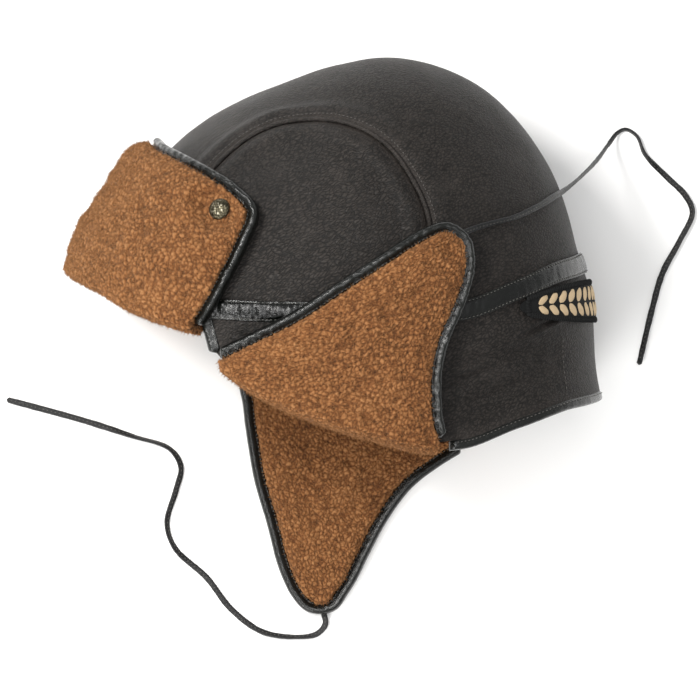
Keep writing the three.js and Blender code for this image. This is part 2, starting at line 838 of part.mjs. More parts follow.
function addBrowFlap() {
  const end = (side) => curveOn(browEnd, side);
  const toMiddle = new THREE.Vector3(Math.cos(browTopAngle * degree), Math.sin(browTopAngle * degree), 0);
  const middle = bodyMeets(centre, toMiddle);
  const topPoints = browTop.map((row) => sideOffset(row.back * crownReach, row.up * crownReach, 1));
  topPoints.push(middle);
  for (const row of [...browTop].reverse()) {
    topPoints.push(sideOffset(row.back * crownReach, row.up * crownReach, -1));
  }
  const top = new THREE.CatmullRomCurve3(topPoints, false, 'centripetal');
  const left = end(1);
  const right = end(-1);
  const fold = foldLine(turnOf(left.getPoint(0)), 360 + turnOf(right.getPoint(0)), 0);
  const sideEdge = (curve, start) => (t) => curve.getPointAt(t).lerp(start, Math.max(0, 1 - t * 4));
  const topEdge = (t) => top.getPointAt(t);
  const outline = edgePatch(fold, topEdge, sideEdge(left, fold(0)), sideEdge(right, fold(1)));
  const inU = (bindingWidth + edgeGap) / top.getLength();
  const inV = (bindingWidth + edgeGap) / left.getLength();
  const frameAt = (u, v, down) => {
    const offset = bodyMeets(centre, outline(inU + u * (1 - 2 * inU), v * (1 - inV)));
    const lowered = down ? ringOffset(offset.y + earUp - down, turnOf(offset)) : offset;
    return leatherFrame(lowered);
  };
  const flap = (u, v, w) => raised(frameAt(u, v, 0), flapLift + w * leather);
  const thickness = (u, v, frame) => {
    const snap = snapCentre(1);
    const away = Math.hypot(frame.point.x - snap.x, frame.point.y - snap.y);
    const seat = fade(away, snapRadius * 2, snapRadius * 3.5);
    return THREE.MathUtils.lerp(woolThickness(browWool, u, v, frame.point), edgeWool, seat);
  };
  addPiece('brow_flap', sheet(...grids.browFlap, flap), materials.leather);
  addPiece('brow_flap_wool', sheet(...grids.browFlapWool, foldedWool(frameAt, thickness)), materials.wool);
  const rim = browRim(outline, inU / 2, inV / 2);
  const outer = flapLift + leather + layerGap + edgeWool;
  const binding = boundEdge((offset) => leatherFrame(bodyMeets(centre, offset)), rim, flapLift, outer);
  addPiece('brow_flap_binding', bar(...grids.browFlapBinding, binding), materials.trim);
}

// Middle line of the brow flap's binding: up its left end, along the top, down its right end
function browRim(outline, inU, inV) {
  const points = [];
  const endSteps = 4;
  const topSteps = 14;
  for (let i = 0; i < endSteps; i += 1) points.push(outline(inU, (i / endSteps) * (1 - inV)));
  for (let i = 0; i <= topSteps; i += 1) {
    points.push(outline(THREE.MathUtils.lerp(inU, 1 - inU, i / topSteps), 1 - inV));
  }
  for (let i = endSteps - 1; i >= 0; i -= 1) points.push(outline(1 - inU, (i / endSteps) * (1 - inV)));
  return new THREE.CatmullRomCurve3(points, false, 'centripetal');
}

// Snap caps and patch

function addSnap(side) {
  const profile = [
    new THREE.Vector2(0, 0),
    new THREE.Vector2(snapRadius * 0.94, 0),
    new THREE.Vector2(snapRadius, snapHeight * 0.25),
    new THREE.Vector2(snapRadius * 0.8, snapHeight * 0.7),
    new THREE.Vector2(snapRadius * 0.4, snapHeight * 0.95),
    new THREE.Vector2(0, snapHeight),
  ];
  const geometry = new THREE.LatheGeometry(profile, 12);
  const frame = leatherFrame(sideOffset(snapPlace.back * crownReach, snapPlace.up * crownReach, side));
  const seat = flapLift + leather + layerGap + edgeWool + layerGap;
  const point = raised(frame, seat);
  const onFloor = side < 0 && point.z < snapHeight;
  if (onFloor) point.z = snapHeight;
  const facing = onFloor ? new THREE.Vector3(0, 0, -1) : frame.normal;
  const turned = new THREE.Quaternion().setFromUnitVectors(new THREE.Vector3(0, 1, 0), facing);
  const still = new THREE.Vector3();
  const place = (corner) => still.copy(corner).applyQuaternion(turned).add(point);
  addPiece(`${sideNames[side]}_snap_cap`, bend(geometry, place), materials.metal);
}

function addPatch() {
  const reach = patchLength / 2 / (crownReach * 0.95) / degree;
  const place = (u, v, w) => {
    const along = 2 * u - 1;
    const turn = along * reach;
    const tall = patchHeight * Math.max(0.16, Math.sqrt(1 - Math.abs(along) ** 2.4));
    const height = bandHeight(0) - patchDrop - patchDroop * along ** 2 + (v - 0.5) * tall;
    return raised(leatherFrame(ringOffset(height, turn)), layerGap + w * patchThick);
  };
  addPiece('nape_patch', sheet(...grids.patch, place), materials.patch);
}

// Ties

function addTie(name, route) {
  const points = route.map((at) => new THREE.Vector3(...at));
  const curve = new THREE.CatmullRomCurve3(points, false, 'centripetal');
  const section = new THREE.Shape();
  section.absarc(0, 0, tieWidth / 2, 0, 2 * Math.PI);
  const steps = Math.round(curve.getLength() / (tieWidth * 2.8));
  const settings = { extrudePath: curve, steps, curveSegments: 4, bevelEnabled: false };
  const geometry = new THREE.ExtrudeGeometry(section, settings);
  addPiece(name, bend(geometry, (corner) => corner.clone()), materials.lace);
}

addCentrePanel();
for (const side of [1, -1]) {
  addSidePanel(side);
  addWelt(side);
}
addBand();
addNeck();
addHemBinding();
addLining();
addLeftFlap();
addRightFlap();
addBrowFlap();
addSnap(1);
addSnap(-1);
addPatch();
addTie('left_tie', leftTieRoute);
addTie('right_tie', rightTieRoute);

export default group;
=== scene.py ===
import json
import math

import bmesh
import bpy
import numpy as np
from mathutils import Matrix, Vector

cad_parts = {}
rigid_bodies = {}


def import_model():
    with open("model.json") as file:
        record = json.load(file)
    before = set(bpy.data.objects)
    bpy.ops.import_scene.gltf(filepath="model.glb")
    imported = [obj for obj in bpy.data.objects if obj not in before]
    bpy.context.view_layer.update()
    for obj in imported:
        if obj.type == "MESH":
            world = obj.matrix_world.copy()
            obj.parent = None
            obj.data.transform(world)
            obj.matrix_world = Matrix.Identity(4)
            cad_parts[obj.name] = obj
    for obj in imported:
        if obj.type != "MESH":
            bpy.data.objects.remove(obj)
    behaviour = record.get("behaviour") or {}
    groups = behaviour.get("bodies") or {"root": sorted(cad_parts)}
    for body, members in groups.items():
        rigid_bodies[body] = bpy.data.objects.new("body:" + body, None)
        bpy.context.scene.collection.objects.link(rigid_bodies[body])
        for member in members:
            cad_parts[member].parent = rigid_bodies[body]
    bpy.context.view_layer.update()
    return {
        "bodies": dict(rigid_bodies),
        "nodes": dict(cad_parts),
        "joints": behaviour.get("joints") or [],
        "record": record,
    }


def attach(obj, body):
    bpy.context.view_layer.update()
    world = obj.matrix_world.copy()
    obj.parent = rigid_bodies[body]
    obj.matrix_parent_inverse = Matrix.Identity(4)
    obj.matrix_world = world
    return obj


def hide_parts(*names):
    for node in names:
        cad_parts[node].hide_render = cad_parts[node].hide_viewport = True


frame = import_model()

# Leather flying helmet with shearling inside, lying on its right side.
# Lengths are worked out in millimetres and turned into metres when a mesh is finished.
# +X is the back of the helmet, +Y its top, +Z its left side, and the floor is Z = 0.

millimetre = 0.001
degree = math.pi / 180

# Sizes that all pieces share, as in the part
shell = {
    "reach": 125, "halfWidth": 88, "roundness": 2.2, "settle": 8,
    "ear": (1, 11, 80), "neckDrop": 64, "leather": 1.5, "layerGap": 0.55,
    "liningGap": 1, "liningWool": 6, "flapLift": 2.7, "flapWool": 8, "browWool": 11,
    "edgeWool": 4.6, "lumps": 1.4, "foldRoll": 5, "crush": 5.5,
    "bandWidth": 10, "bandThick": 1.2, "bandRise": 25, "bindingWidth": 4.6, "edgeGap": 0.8,
    "snapRadius": 5.5, "snapHeight": 2.6, "snapPlace": (-0.437, 0.385),
}
ear = np.array(shell["ear"], float)
reach = shell["reach"]
leather = shell["leather"]
layerGap = shell["layerGap"]
flapTop = shell["flapLift"] + leather + layerGap

# Crown outline from the side: angle from straight back, reach
crownOutline = [
    (0, 1.024), (15, 0.994), (30, 1.021), (45, 1.05), (60, 1.07), (75, 1.051), (90, 0.994),
    (105, 0.941), (120, 0.93), (140, 0.936), (153, 0.94), (165, 0.975), (180, 0.98),
]
napeOutline = [(0, 1.024), (0.3, 1.03), (0.7, 1.06), (1.1, 1.1), (1.6, 1.12)]
browOutline = [(0, 0.98), (0.3, 0.97), (0.7, 0.95), (1.1, 0.93), (1.6, 0.92)]

# Turn from straight back: rise of the band, drop of the leather's lower edge
bandLine = [
    (0, 1), (20, 0.84), (36, 0.46), (53, 0.04), (70, 0), (110, 0.02), (128, 0.08), (145, 0.45),
    (162, 0.98), (180, 1.18),
]
lowerEdge = [
    (0, 1), (30, 0.99), (52, 1), (60, 1.01), (78, 0.91), (97, 0.77), (112, 0.61), (122, 0.45),
    (127, 0.34), (130, 0.13), (180, 0.13),
]

# Lines on the side of the body: back and up from the ear
seamLine = [
    (0.385, 0), (0.38, 0.16), (0.36, 0.39), (0.3, 0.53), (0.2, 0.665), (0.06, 0.748),
    (-0.1, 0.775), (-0.23, 0.755), (-0.35, 0.7), (-0.48, 0.59), (-0.585, 0.44),
    (-0.66, 0.26), (-0.7, 0.06),
]
browEnd = [(-0.525, -0.06), (-0.437, 0.1), (-0.353, 0.27), (-0.313, 0.385)]
browTop = [(-0.313, 0.385), (-0.378, 0.47), (-0.535, 0.567), (-0.645, 0.622)]
browTopAngle = 136
leftFlapFront = [
    (-0.476, -0.17), (-0.313, -0.09), (-0.155, -0.006), (0.001, 0.097), (0.16, 0.2),
    (0.325, 0.305), (0.405, 0.336), (0.455, 0.33),
]
leftFlapBack = [
    (0.432, -0.54), (0.4, -0.44), (0.39, -0.33), (0.392, -0.23), (0.424, -0.092),
    (0.468, 0.008), (0.508, 0.132), (0.512, 0.24), (0.49, 0.305),
]
rightFlapFront = [
    (-0.4, -0.24), (-0.374, -0.316), (-0.356, -0.448), (-0.32, -0.668), (-0.268, -0.848),
    (-0.22, -1.028), (-0.16, -1.148), (-0.09, -1.21),
]
rightFlapBack = [
    (0.52, -0.536), (0.412, -0.6), (0.292, -0.692), (0.192, -0.824), (0.116, -0.964),
    (0.052, -1.092), (-0.03, -1.205),
]

# Dents of the leather: back, up, side, size, depth
dents = [
    (0.62, 0.62, 1, 0.22, 0.02), (0.78, -0.2, 1, 0.12, 0.022), (0.62, -0.42, 1, 0.14, 0.026),
    (0.7, 0.5, -1, 0.25, 0.024), (-0.1, 0.86, 1, 0.12, 0.012),
]


# Camera, floor and light

view = {"middle": (0.0075, -0.0075, 0.085), "width": 0.35, "lens": 800, "sensor": 36}


def newObject(name, data):
    made = bpy.data.objects.new(name, data)
    bpy.context.scene.collection.objects.link(made)
    return made


def makeCamera():
    data = bpy.data.cameras.new("camera")
    data.lens = view["lens"]
    data.sensor_width = view["sensor"]
    distance = view["width"] * view["lens"] / view["sensor"]
    data.clip_start = 0.1
    data.clip_end = 3 * distance
    camera = newObject("camera", data)
    x, y, z = view["middle"]
    camera.location = (x, y, z + distance)
    bpy.context.scene.camera = camera


studio = {
    "floorSize": 60, "light": 0.5, "backdrop": 0.97, "aim": (0, 0, 0.08),
    "floor": {"Base Color": (0.93, 0.93, 0.925, 1), "Roughness": 0.9, "Specular IOR Level": 0.1},
    # name: place, size, power, colour
    "lamps": {
        "key": ((-0.75, 0.6, 1.4), 0.45, 28, (1, 0.985, 0.96)),
        "top": ((0.15, 0.1, 1.9), 0.9, 15, (1, 1, 1)),
        "front": ((-0.8, -1.15, 1.0), 0.7, 21, (1, 0.99, 0.97)),
    },
}


def makeStudio():
    bm = bmesh.new()
    bmesh.ops.create_grid(bm, x_segments=1, y_segments=1, size=studio["floorSize"] / 2)
    mesh = bpy.data.meshes.new("floor")
    bm.to_mesh(mesh)
    bm.free()
    newMaterial("studio_floor", studio["floor"])
    mesh.materials.append(bpy.data.materials["studio_floor"])
    newObject("floor", mesh)
    for name, (place, size, power, colour) in studio["lamps"].items():
        data = bpy.data.lights.new(name, "AREA")
        data.size = size
        data.energy = power
        data.color = colour
        lamp = newObject(name, data)
        lamp.location = place
        aim = Vector(studio["aim"]) - lamp.location
        lamp.rotation_euler = aim.to_track_quat("-Z", "Y").to_euler()
    world = bpy.data.worlds.new("studio")
    world.use_nodes = True
    tree = world.node_tree
    seen = addNode(tree, "ShaderNodeLightPath").outputs["Is Camera Ray"]
    colour = mixed(tree, seen, (studio["light"],) * 3, (studio["backdrop"],) * 3)
    tree.links.new(colour, tree.nodes["Background"].inputs["Color"])
    bpy.context.scene.world = world
    bpy.context.scene.view_settings.view_transform = "Standard"


# Material helpers

def newMaterial(name, values):
    material = bpy.data.materials.new(name)
    material.use_nodes = True
    shader = material.node_tree.nodes["Principled BSDF"]
    for title, value in values.items():
        shader.inputs[title].default_value = value
    return material.node_tree, shader


def addNode(tree, kind, settings=None, **inputs):
    made = tree.nodes.new(kind)
    for key, value in (settings or {}).items():
        setattr(made, key, value)
    for key, value in inputs.items():
        socket = made.inputs[int(key[5:])] if key.startswith("input") else made.inputs[key]
        if isinstance(value, bpy.types.NodeSocket):
            tree.links.new(value, socket)
        else:
            socket.default_value = value
    return made


def maths(tree, operation, first, second=0.0, clamp=False):
    settings = {"operation": operation, "use_clamp": clamp}
    return addNode(tree, "ShaderNodeMath", settings, input0=first, input1=second).outputs[0]


# Sum of values, each times its share
def added(tree, *terms, clamp=False):
    parts = [value if share == 1 else maths(tree, "MULTIPLY", value, share)
             for value, share in terms]
    total = parts.pop(0)
    while parts:
        total = maths(tree, "ADD", total, parts.pop(0), clamp and not parts)
    return total


def ramp(tree, value, stops):
    made = addNode(tree, "ShaderNodeValToRGB", None, Fac=value)
    elements = made.color_ramp.elements
    while len(elements) < len(stops):
        elements.new(0.5)
    for element, (place, colour) in zip(elements, stops):
        element.position = place
        element.color = (*colour, 1)
    return made.outputs["Color"]


def mixed(tree, share, first, second):
    made = addNode(tree, "ShaderNodeMix", {"data_type": "RGBA"})
    for place, value in zip((0, 6, 7), (share, first, second)):
        if isinstance(value, bpy.types.NodeSocket):
            tree.links.new(value, made.inputs[place])
        else:
            made.inputs[place].default_value = value if place == 0 else (*value, 1)
    return made.outputs[2]


def noise(tree, place, scale, detail, roughness=0.55):
    made = addNode(tree, "ShaderNodeTexNoise", None, Vector=place, Scale=scale, Detail=detail,
                   Roughness=roughness)
    return made.outputs["Fac"]


def ranged(tree, value, start, end, low, high):
    limits = {"From Min": start, "From Max": end, "To Min": low, "To Max": high}
    return addNode(tree, "ShaderNodeMapRange", None, Value=value, **limits).outputs[0]


def objectPlace(tree):
    return addNode(tree, "ShaderNodeTexCoord").outputs["Object"]


def attribute(tree, name):
    return addNode(tree, "ShaderNodeAttribute", {"attribute_name": name}).outputs["Fac"]


def newGroup(name, inputs, outputs):
    tree = bpy.data.node_groups.new(name, "ShaderNodeTree")
    for title, value in inputs.items():
        socket = tree.interface.new_socket(title, in_out="INPUT", socket_type="NodeSocketFloat")
        socket.default_value = value
    for title in outputs:
        tree.interface.new_socket(title, in_out="OUTPUT", socket_type="NodeSocketFloat")
    return tree, tree.nodes.new("NodeGroupInput"), tree.nodes.new("NodeGroupOutput")


def useGroup(tree, name, **values):
    made = addNode(tree, "ShaderNodeGroup", {"node_tree": bpy.data.node_groups[name]}, **values)
    return made.outputs


# Joins colour, relief and, where it varies, roughness to a material's shader
def dress(tree, shader, colour, height, depth, rough=None):
    bump = addNode(tree, "ShaderNodeBump", None, Height=height, Distance=depth, Strength=1.0)
    tree.links.new(colour, shader.inputs["Base Color"])
    tree.links.new(bump.outputs["Normal"], shader.inputs["Normal"])
    if rough:
        tree.links.new(rough, shader.inputs["Roughness"])


grain = {
    "warp": 130.0, "warpBy": 0.0025, "turn": (0, 0, 0.6), "stretch": (2.2, 0.8, 1.0),
    "flatTop": 0.28, "foldTurn": (0.3, 0.2, 0.6), "foldSqueeze": (1, 3.2, 1), "folds": 210.0,
    "foldSharpness": 9.0, "fine": 2600.0, "cloud": 34.0,
}


# Grain of the hide: pebbles with creases running through them, a mask of their pits and creases that
# the hides darken as painted shade, and a cloudy tone
def makeGrainGroup():
    tree, given, result = newGroup(
        "hide grain", {"Pebbles": 900.0, "Creases": 0.5}, ["Height", "PitShade", "Tone"])
    place = objectPlace(tree)
    warp = addNode(tree, "ShaderNodeTexNoise", None, Vector=place, Scale=grain["warp"],
                   Detail=3.0)
    shift = addNode(tree, "ShaderNodeVectorMath", {"operation": "SCALE"},
                    input0=warp.outputs["Color"], Scale=grain["warpBy"])
    moved = addNode(tree, "ShaderNodeVectorMath", {"operation": "ADD"},
                    input0=place, input1=shift.outputs[0]).outputs[0]
    drawn = addNode(tree, "ShaderNodeMapping", {"vector_type": "TEXTURE"}, Vector=moved,
                    Rotation=grain["turn"], Scale=grain["stretch"])
    cells = addNode(tree, "ShaderNodeTexVoronoi", {"feature": "DISTANCE_TO_EDGE"},
                    Vector=drawn.outputs[0], Scale=given.outputs["Pebbles"])
    pebbles = maths(tree, "MINIMUM", cells.outputs["Distance"], grain["flatTop"])
    squeezed = addNode(tree, "ShaderNodeMapping", None, Vector=moved,
                       Rotation=grain["foldTurn"], Scale=grain["foldSqueeze"])
    folds = noise(tree, squeezed.outputs[0], grain["folds"], 5.0, 0.6)
    valley = maths(tree, "ABSOLUTE", maths(tree, "SUBTRACT", folds, 0.5))
    steep = maths(tree, "MULTIPLY", valley, grain["foldSharpness"])
    crease = maths(tree, "MINIMUM", steep, 1.0)
    fine = noise(tree, place, grain["fine"], 2.0)
    made = {
        "Height": added(tree, (pebbles, 2.2), (crease, given.outputs["Creases"]), (fine, 0.18)),
        "PitShade": added(tree, (pebbles, -5.5), (crease, -0.5), (1.5, 1), clamp=True),
        "Tone": noise(tree, place, grain["cloud"], 6.0, 0.6),
    }
    for title, socket in made.items():
        tree.links.new(socket, result.inputs[title])


# Dust and rubbing: cloudy patches with small scuffs in them
def makeWearGroup():
    tree, given, result = newGroup("rubbed", {"Size": 60.0, "Amount": 0.5}, ["Mask"])
    place = objectPlace(tree)
    cloud = noise(tree, place, given.outputs["Size"], 8.0, 0.68)
    scuffs = noise(tree, place, 900.0, 4.0, 0.7)
    sharp = added(tree, (cloud, 4.0), (scuffs, 0.88), (-2.48, 1), clamp=True)
    tree.links.new(maths(tree, "MULTIPLY", sharp, given.outputs["Amount"]), result.inputs["Mask"])


# Hides by name: dark, plain and rubbed colour, roughness from and to, grain, bump, gloss. The rubbed
# colour is worn leather, and on marked edges and trim tops also a painted highlight.
hides = {
    "crown": {"dark": (0.0165, 0.0136, 0.0117), "plain": (0.027, 0.0226, 0.0196),
              "rubbed": (0.05, 0.042, 0.037), "rough": (0.46, 0.58), "pebbles": 640.0,
              "creases": 0.5, "bump": 0.0003, "specular": 0.2},
    "trim": {"dark": (0.0028, 0.0034, 0.0029), "plain": (0.0055, 0.0064, 0.0055),
             "rubbed": (0.022, 0.024, 0.021), "rough": (0.16, 0.26), "pebbles": 1200.0,
             "creases": 1.0, "bump": 0.00005, "specular": 0.4},
    "lace": {"dark": (0.004, 0.0042, 0.0048), "plain": (0.0085, 0.009, 0.01),
             "rubbed": (0.03, 0.03, 0.032), "rough": (0.32, 0.5), "pebbles": 1300.0,
             "creases": 0.8, "bump": 0.0001, "specular": 0.35},
}


# Wear: size and amount of the rubbed patches; the pits' tone, a painted shade in the grain's pits
# and creases; how much the edge mark lightens, partly wear and partly painted highlight; share of
# the rubbed colour
hideWear = {"size": 45.0, "amount": 0.55, "pitShadeTone": 0.3, "edges": 0.5, "share": 0.55}


def makeHide(name, look):
    tree, shader = newMaterial(f"{name}_hide", {"Specular IOR Level": look["specular"]})
    hide = useGroup(tree, "hide grain", Pebbles=look["pebbles"], Creases=look["creases"])
    rubbed = useGroup(tree, "rubbed", Size=hideWear["size"], Amount=hideWear["amount"])
    tone = ramp(tree, hide["Tone"], [(0.3, look["dark"]), (0.7, look["plain"])])
    # Painted shade: the grain's pits and creases are darkened towards a share of the dark colour
    pitShadeColour = [hideWear["pitShadeTone"] * part for part in look["dark"]]
    pitShaded = mixed(tree, hide["PitShade"], tone, pitShadeColour)
    # The edge mark lightens seams, edges and the tops of rolled trims: partly wear, partly painted
    # highlight
    edge = attribute(tree, "edge")
    wearAndEdgeHighlight = added(tree, (rubbed["Mask"], 1), (edge, hideWear["edges"]), clamp=True)
    wearAndHighlightShare = maths(tree, "MULTIPLY", wearAndEdgeHighlight, hideWear["share"])
    colour = mixed(tree, wearAndHighlightShare, pitShaded, look["rubbed"])
    rough = ranged(tree, hide["Tone"], 0.3, 0.7, *look["rough"])
    dress(tree, shader, colour, hide["Height"], look["bump"], rough)


wool = {
    "creviceShade": (0.036, 0.01, 0.003), "low": (0.13, 0.044, 0.013), "middle": (0.25, 0.1, 0.033),
    "tip": (0.36, 0.17, 0.066), "fibres": 1500.0, "tufts": 420.0, "cloud": 42.0,
    "bump": 0.0011, "curlSize": 2.4, "curlHeight": 1.35,
    "plain": {"Roughness": 0.95, "Specular IOR Level": 0.15, "Sheen Weight": 0.22,
              "Sheen Roughness": 0.6, "Sheen Tint": (1, 0.62, 0.32, 1)},
}


def makeWoolMaterial():
    tree, shader = newMaterial("caramel_fleece", wool["plain"])
    place = objectPlace(tree)
    fibres = noise(tree, place, wool["fibres"], 5.0, 0.7)
    cloud = noise(tree, place, wool["cloud"], 4.0, 0.6)
    tufts = noise(tree, place, wool["tufts"], 4.0, 0.65)
    # Colour from the curl mark paints shade: darkest in the crevices, lighter on the curls' tops,
    # with random tone from the noises
    shade = added(tree, (attribute(tree, "curl"), 1), (fibres, 0.9), (cloud, 0.45), (tufts, 0.5),
                  (-0.925, 1))
    colour = ramp(tree, shade, [(0.05, wool["creviceShade"]), (0.32, wool["low"]),
                                (0.66, wool["middle"]), (1.0, wool["tip"])])
    dress(tree, shader, colour, added(tree, (tufts, 0.9), (fibres, 1)), wool["bump"])


# Threads, metal and cloth: dark and light colours. On threads and cloth the colour follows the
# relief: painted shade in the grooves, lighter on the crests.
threadTwist = 1400.0
threads = {
    "brown_thread": ((0.03, 0.027, 0.024), (0.12, 0.11, 0.1)),
    "waxed_thread": ((0.03, 0.029, 0.027), (0.12, 0.115, 0.1)),
}
snap = {"dark": (0.02, 0.018, 0.011), "bronze": (0.11, 0.095, 0.06), "bright": (0.4, 0.37, 0.29)}
cloth = {
    "black_embroidery": ((0.005, 0.005, 0.005), (0.008, 0.0085, 0.0085)),
    "cream_embroidery": ((0.46, 0.34, 0.2), (0.72, 0.55, 0.35)),
}


def makeThread(name, dark, light):
    tree, shader = newMaterial(name, {"Roughness": 0.6})
    twist = addNode(tree, "ShaderNodeTexWave", {"bands_direction": "DIAGONAL"},
                    Vector=objectPlace(tree), Scale=threadTwist, Distortion=1.5).outputs["Fac"]
    # Painted shade: the twist's grooves are darker, its crests lighter
    dress(tree, shader, ramp(tree, twist, [(0.1, dark), (0.9, light)]), twist, 0.0001)


def makeMetal():
    tree, shader = newMaterial("aged_bronze", {"Metallic": 0.9})
    stain = noise(tree, objectPlace(tree), 900.0, 5.0, 0.65)
    both = added(tree, (attribute(tree, "height"), 0.75), (stain, 0.5))
    colour = ramp(tree, both, [(0.3, snap["dark"]), (0.62, snap["bronze"]), (0.92, snap["bright"])])
    dress(tree, shader, colour, stain, 0.0002, ranged(tree, stain, 0, 1, 0.25, 0.6))


def makeCloth(name, dark, light):
    tree, shader = newMaterial(name, {"Roughness": 0.75, "Specular IOR Level": 0.12})
    turn = maths(tree, "MULTIPLY", attribute(tree, "strand"), 2 * math.pi)
    fluff = noise(tree, objectPlace(tree), 1900.0, 3.0)
    height = added(tree, (maths(tree, "SINE", turn), 0.5), (fluff, 1))
    # Painted shade: colour follows the strands' relief, darker between the strands and lighter on
    # their crests
    colour = ramp(tree, added(tree, (height, 0.7), (0.21, 1)), [(0.05, dark), (0.8, light)])
    dress(tree, shader, colour, height, 0.00018)


def makeMaterials():
    makeGrainGroup()
    makeWearGroup()
    for name, look in hides.items():
        makeHide(name, look)
    makeWoolMaterial()
    for name, colours in threads.items():
        makeThread(name, *colours)
    makeMetal()
    for name, colours in cloth.items():
        makeCloth(name, *colours)
    print("materials ready")


# Noise for shapes

def cellRandom(cells, salt):
    x, y, z = (cells[..., i].astype(np.int64) for i in range(3))
    mixedUp = (x * 73856093) ^ (y * 19349663) ^ (z * 83492791) ^ (salt * 40503)
    mixedUp = ((mixedUp ^ (mixedUp >> 13)) * 1274126177) & 0x7FFFFFFF
    mixedUp = ((mixedUp ^ (mixedUp >> 11)) * 668265263) & 0x7FFFFFFF
    return ((mixedUp ^ (mixedUp >> 15)) % 65536) / 65536


# Smooth noise from -1 to 1 with lumps of a size
def softNoise(points, size, salt=1):
    scaled = points / size
    base = np.floor(scaled)
    part = scaled - base
    part = part * part * (3 - 2 * part)
    total = np.zeros(len(points))
    for corner in np.ndindex(2, 2, 2):
        corner = np.array(corner)
        weight = np.prod(np.where(corner == 1, part, 1 - part), axis=1)
        total += weight * cellRandom(base + corner, salt)
    return 2 * total - 1


# Packed cells: distance to the nearest and second centre, and a random tone of the nearest
def cellNoise(points, size, salt=1):
    scaled = points / size
    base = np.floor(scaled)
    nearest = np.full(len(points), 9.0)
    second = np.full(len(points), 9.0)
    tone = np.zeros(len(points))
    for step in np.ndindex(3, 3, 3):
        cell = base + np.array(step) - 1
        centre = cell + np.stack([cellRandom(cell, salt + k) for k in range(3)], axis=1)
        away = np.linalg.norm(centre - scaled, axis=1)
        closer = away < nearest
        second = np.where(closer, nearest, np.minimum(second, away))
        tone = np.where(closer, cellRandom(cell, salt + 7), tone)
        nearest = np.where(closer, away, nearest)
    return nearest, second, tone


def smoothStep(value, low, high):
    part = np.clip((value - low) / (high - low), 0, 1)
    return part * part * (3 - 2 * part)


def fade(value, low, high):
    return 1 - smoothStep(value, low, high)


def bell(value, width):
    return np.exp(-(value / width) ** 2)


# A wave flattened towards a square one
def squared(wave, power):
    return np.sign(wave) * np.abs(wave) ** power


# Shrinks towards both ends of a run of some length
def ending(u, length, floor):
    return np.clip(np.minimum(u, 1 - u) * length, floor, 1) ** 0.5


# The body, from the same tables as the part

def unit(vectors):
    return vectors / np.maximum(np.linalg.norm(vectors, axis=-1, keepdims=True), 1e-12)


# Smooth function through a table that never passes its rows
def tableCurve(rows):
    places, values = np.array(rows, float).T
    steps = np.diff(places)
    rises = np.concatenate([[0], np.diff(values) / steps, [0]])
    before, after = rises[:-1], rises[1:]
    together = before * after
    slopes = np.where(together > 0, 2 * together / np.where(together > 0, before + after, 1), 0)

    def value(at):
        place = np.clip(at, places[0], places[-1])
        i = np.clip(np.searchsorted(places, place) - 1, 0, len(steps) - 1)
        t = (place - places[i]) / steps[i]
        rise = values[i + 1] - values[i]
        start = slopes[i] * steps[i]
        end = slopes[i + 1] * steps[i]
        return (values[i] + start * t + (3 * rise - 2 * start - end) * t ** 2
                + (start + end - 2 * rise) * t ** 3)

    return value


crownReachAt = tableCurve(crownOutline)
napeReachAt = tableCurve(napeOutline)
browReachAt = tableCurve(browOutline)
bandRiseAt = tableCurve(bandLine)
lowerDropAt = tableCurve(lowerEdge)


def foldTurn(turn):
    return np.abs((turn + 540) % 360 - 180)


def turnOf(offset):
    return np.arctan2(offset[..., 2], offset[..., 0]) / degree


def bandHeight(turn):
    return ear[1] + shell["bandRise"] * bandRiseAt(foldTurn(turn))


def lowerHeight(turn):
    return bandHeight(turn) - shell["neckDrop"] * lowerDropAt(foldTurn(turn))


def outlineShare(back, up):
    above = np.hypot(back, up) / (reach * crownReachAt(np.arctan2(up, back) / degree))
    drop = -up / shell["neckDrop"]
    sideReach = np.where(back > 0, napeReachAt(drop), browReachAt(drop))
    return np.where(up >= 0, above, np.abs(back) / (reach * sideReach))


def bodyField(offset):
    share = outlineShare(offset[..., 0], offset[..., 1])
    depth = np.abs(offset[..., 2]) / shell["halfWidth"]
    return share ** shell["roundness"] + depth ** shell["roundness"] - 1


def bodySlope(offset):
    step = 0.5
    slope = np.empty_like(offset)
    for axis in range(3):
        move = np.zeros(3)
        move[axis] = step
        slope[..., axis] = bodyField(offset + move) - bodyField(offset - move)
    return unit(slope)


# Where lines from points inside meet the body
def bodyMeets(start, direction):
    direction = unit(direction)
    start = np.broadcast_to(start, direction.shape)
    inside = np.zeros(direction.shape[:-1])
    outside = np.full(direction.shape[:-1], 2.5 * reach)
    for _ in range(30):  # each step halves what is left
        middle = (inside + outside) / 2
        isIn = bodyField(start + direction * middle[..., None]) < 0
        inside = np.where(isIn, middle, inside)
        outside = np.where(isIn, outside, middle)
    return start + direction * inside[..., None]


def ringOffset(height, turn):
    height, turn = np.broadcast_arrays(np.asarray(height, float), np.asarray(turn, float))
    nothing = np.zeros_like(turn)
    direction = np.stack([np.cos(turn * degree), nothing, np.sin(turn * degree)], axis=-1)
    return bodyMeets(np.stack([nothing, height - ear[1], nothing], axis=-1), direction)


def sideOffset(back, up, side):
    share = np.minimum(outlineShare(back, up), 0.999)
    roundness = shell["roundness"]
    depth = shell["halfWidth"] * (1 - share ** roundness) ** (1 / roundness)
    return np.stack([back, up, side * depth], axis=-1)


def dentDepth(offset):
    depth = np.zeros(offset.shape[:-1])
    for back, up, side, size, deep in dents:
        away = np.hypot(offset[..., 0] - back * reach, offset[..., 1] - up * reach)
        onSide = 1 - fade(offset[..., 2] * side, 0, shell["halfWidth"] * 0.4)
        depth += onSide * deep * reach * bell(away, size * reach)
    return depth


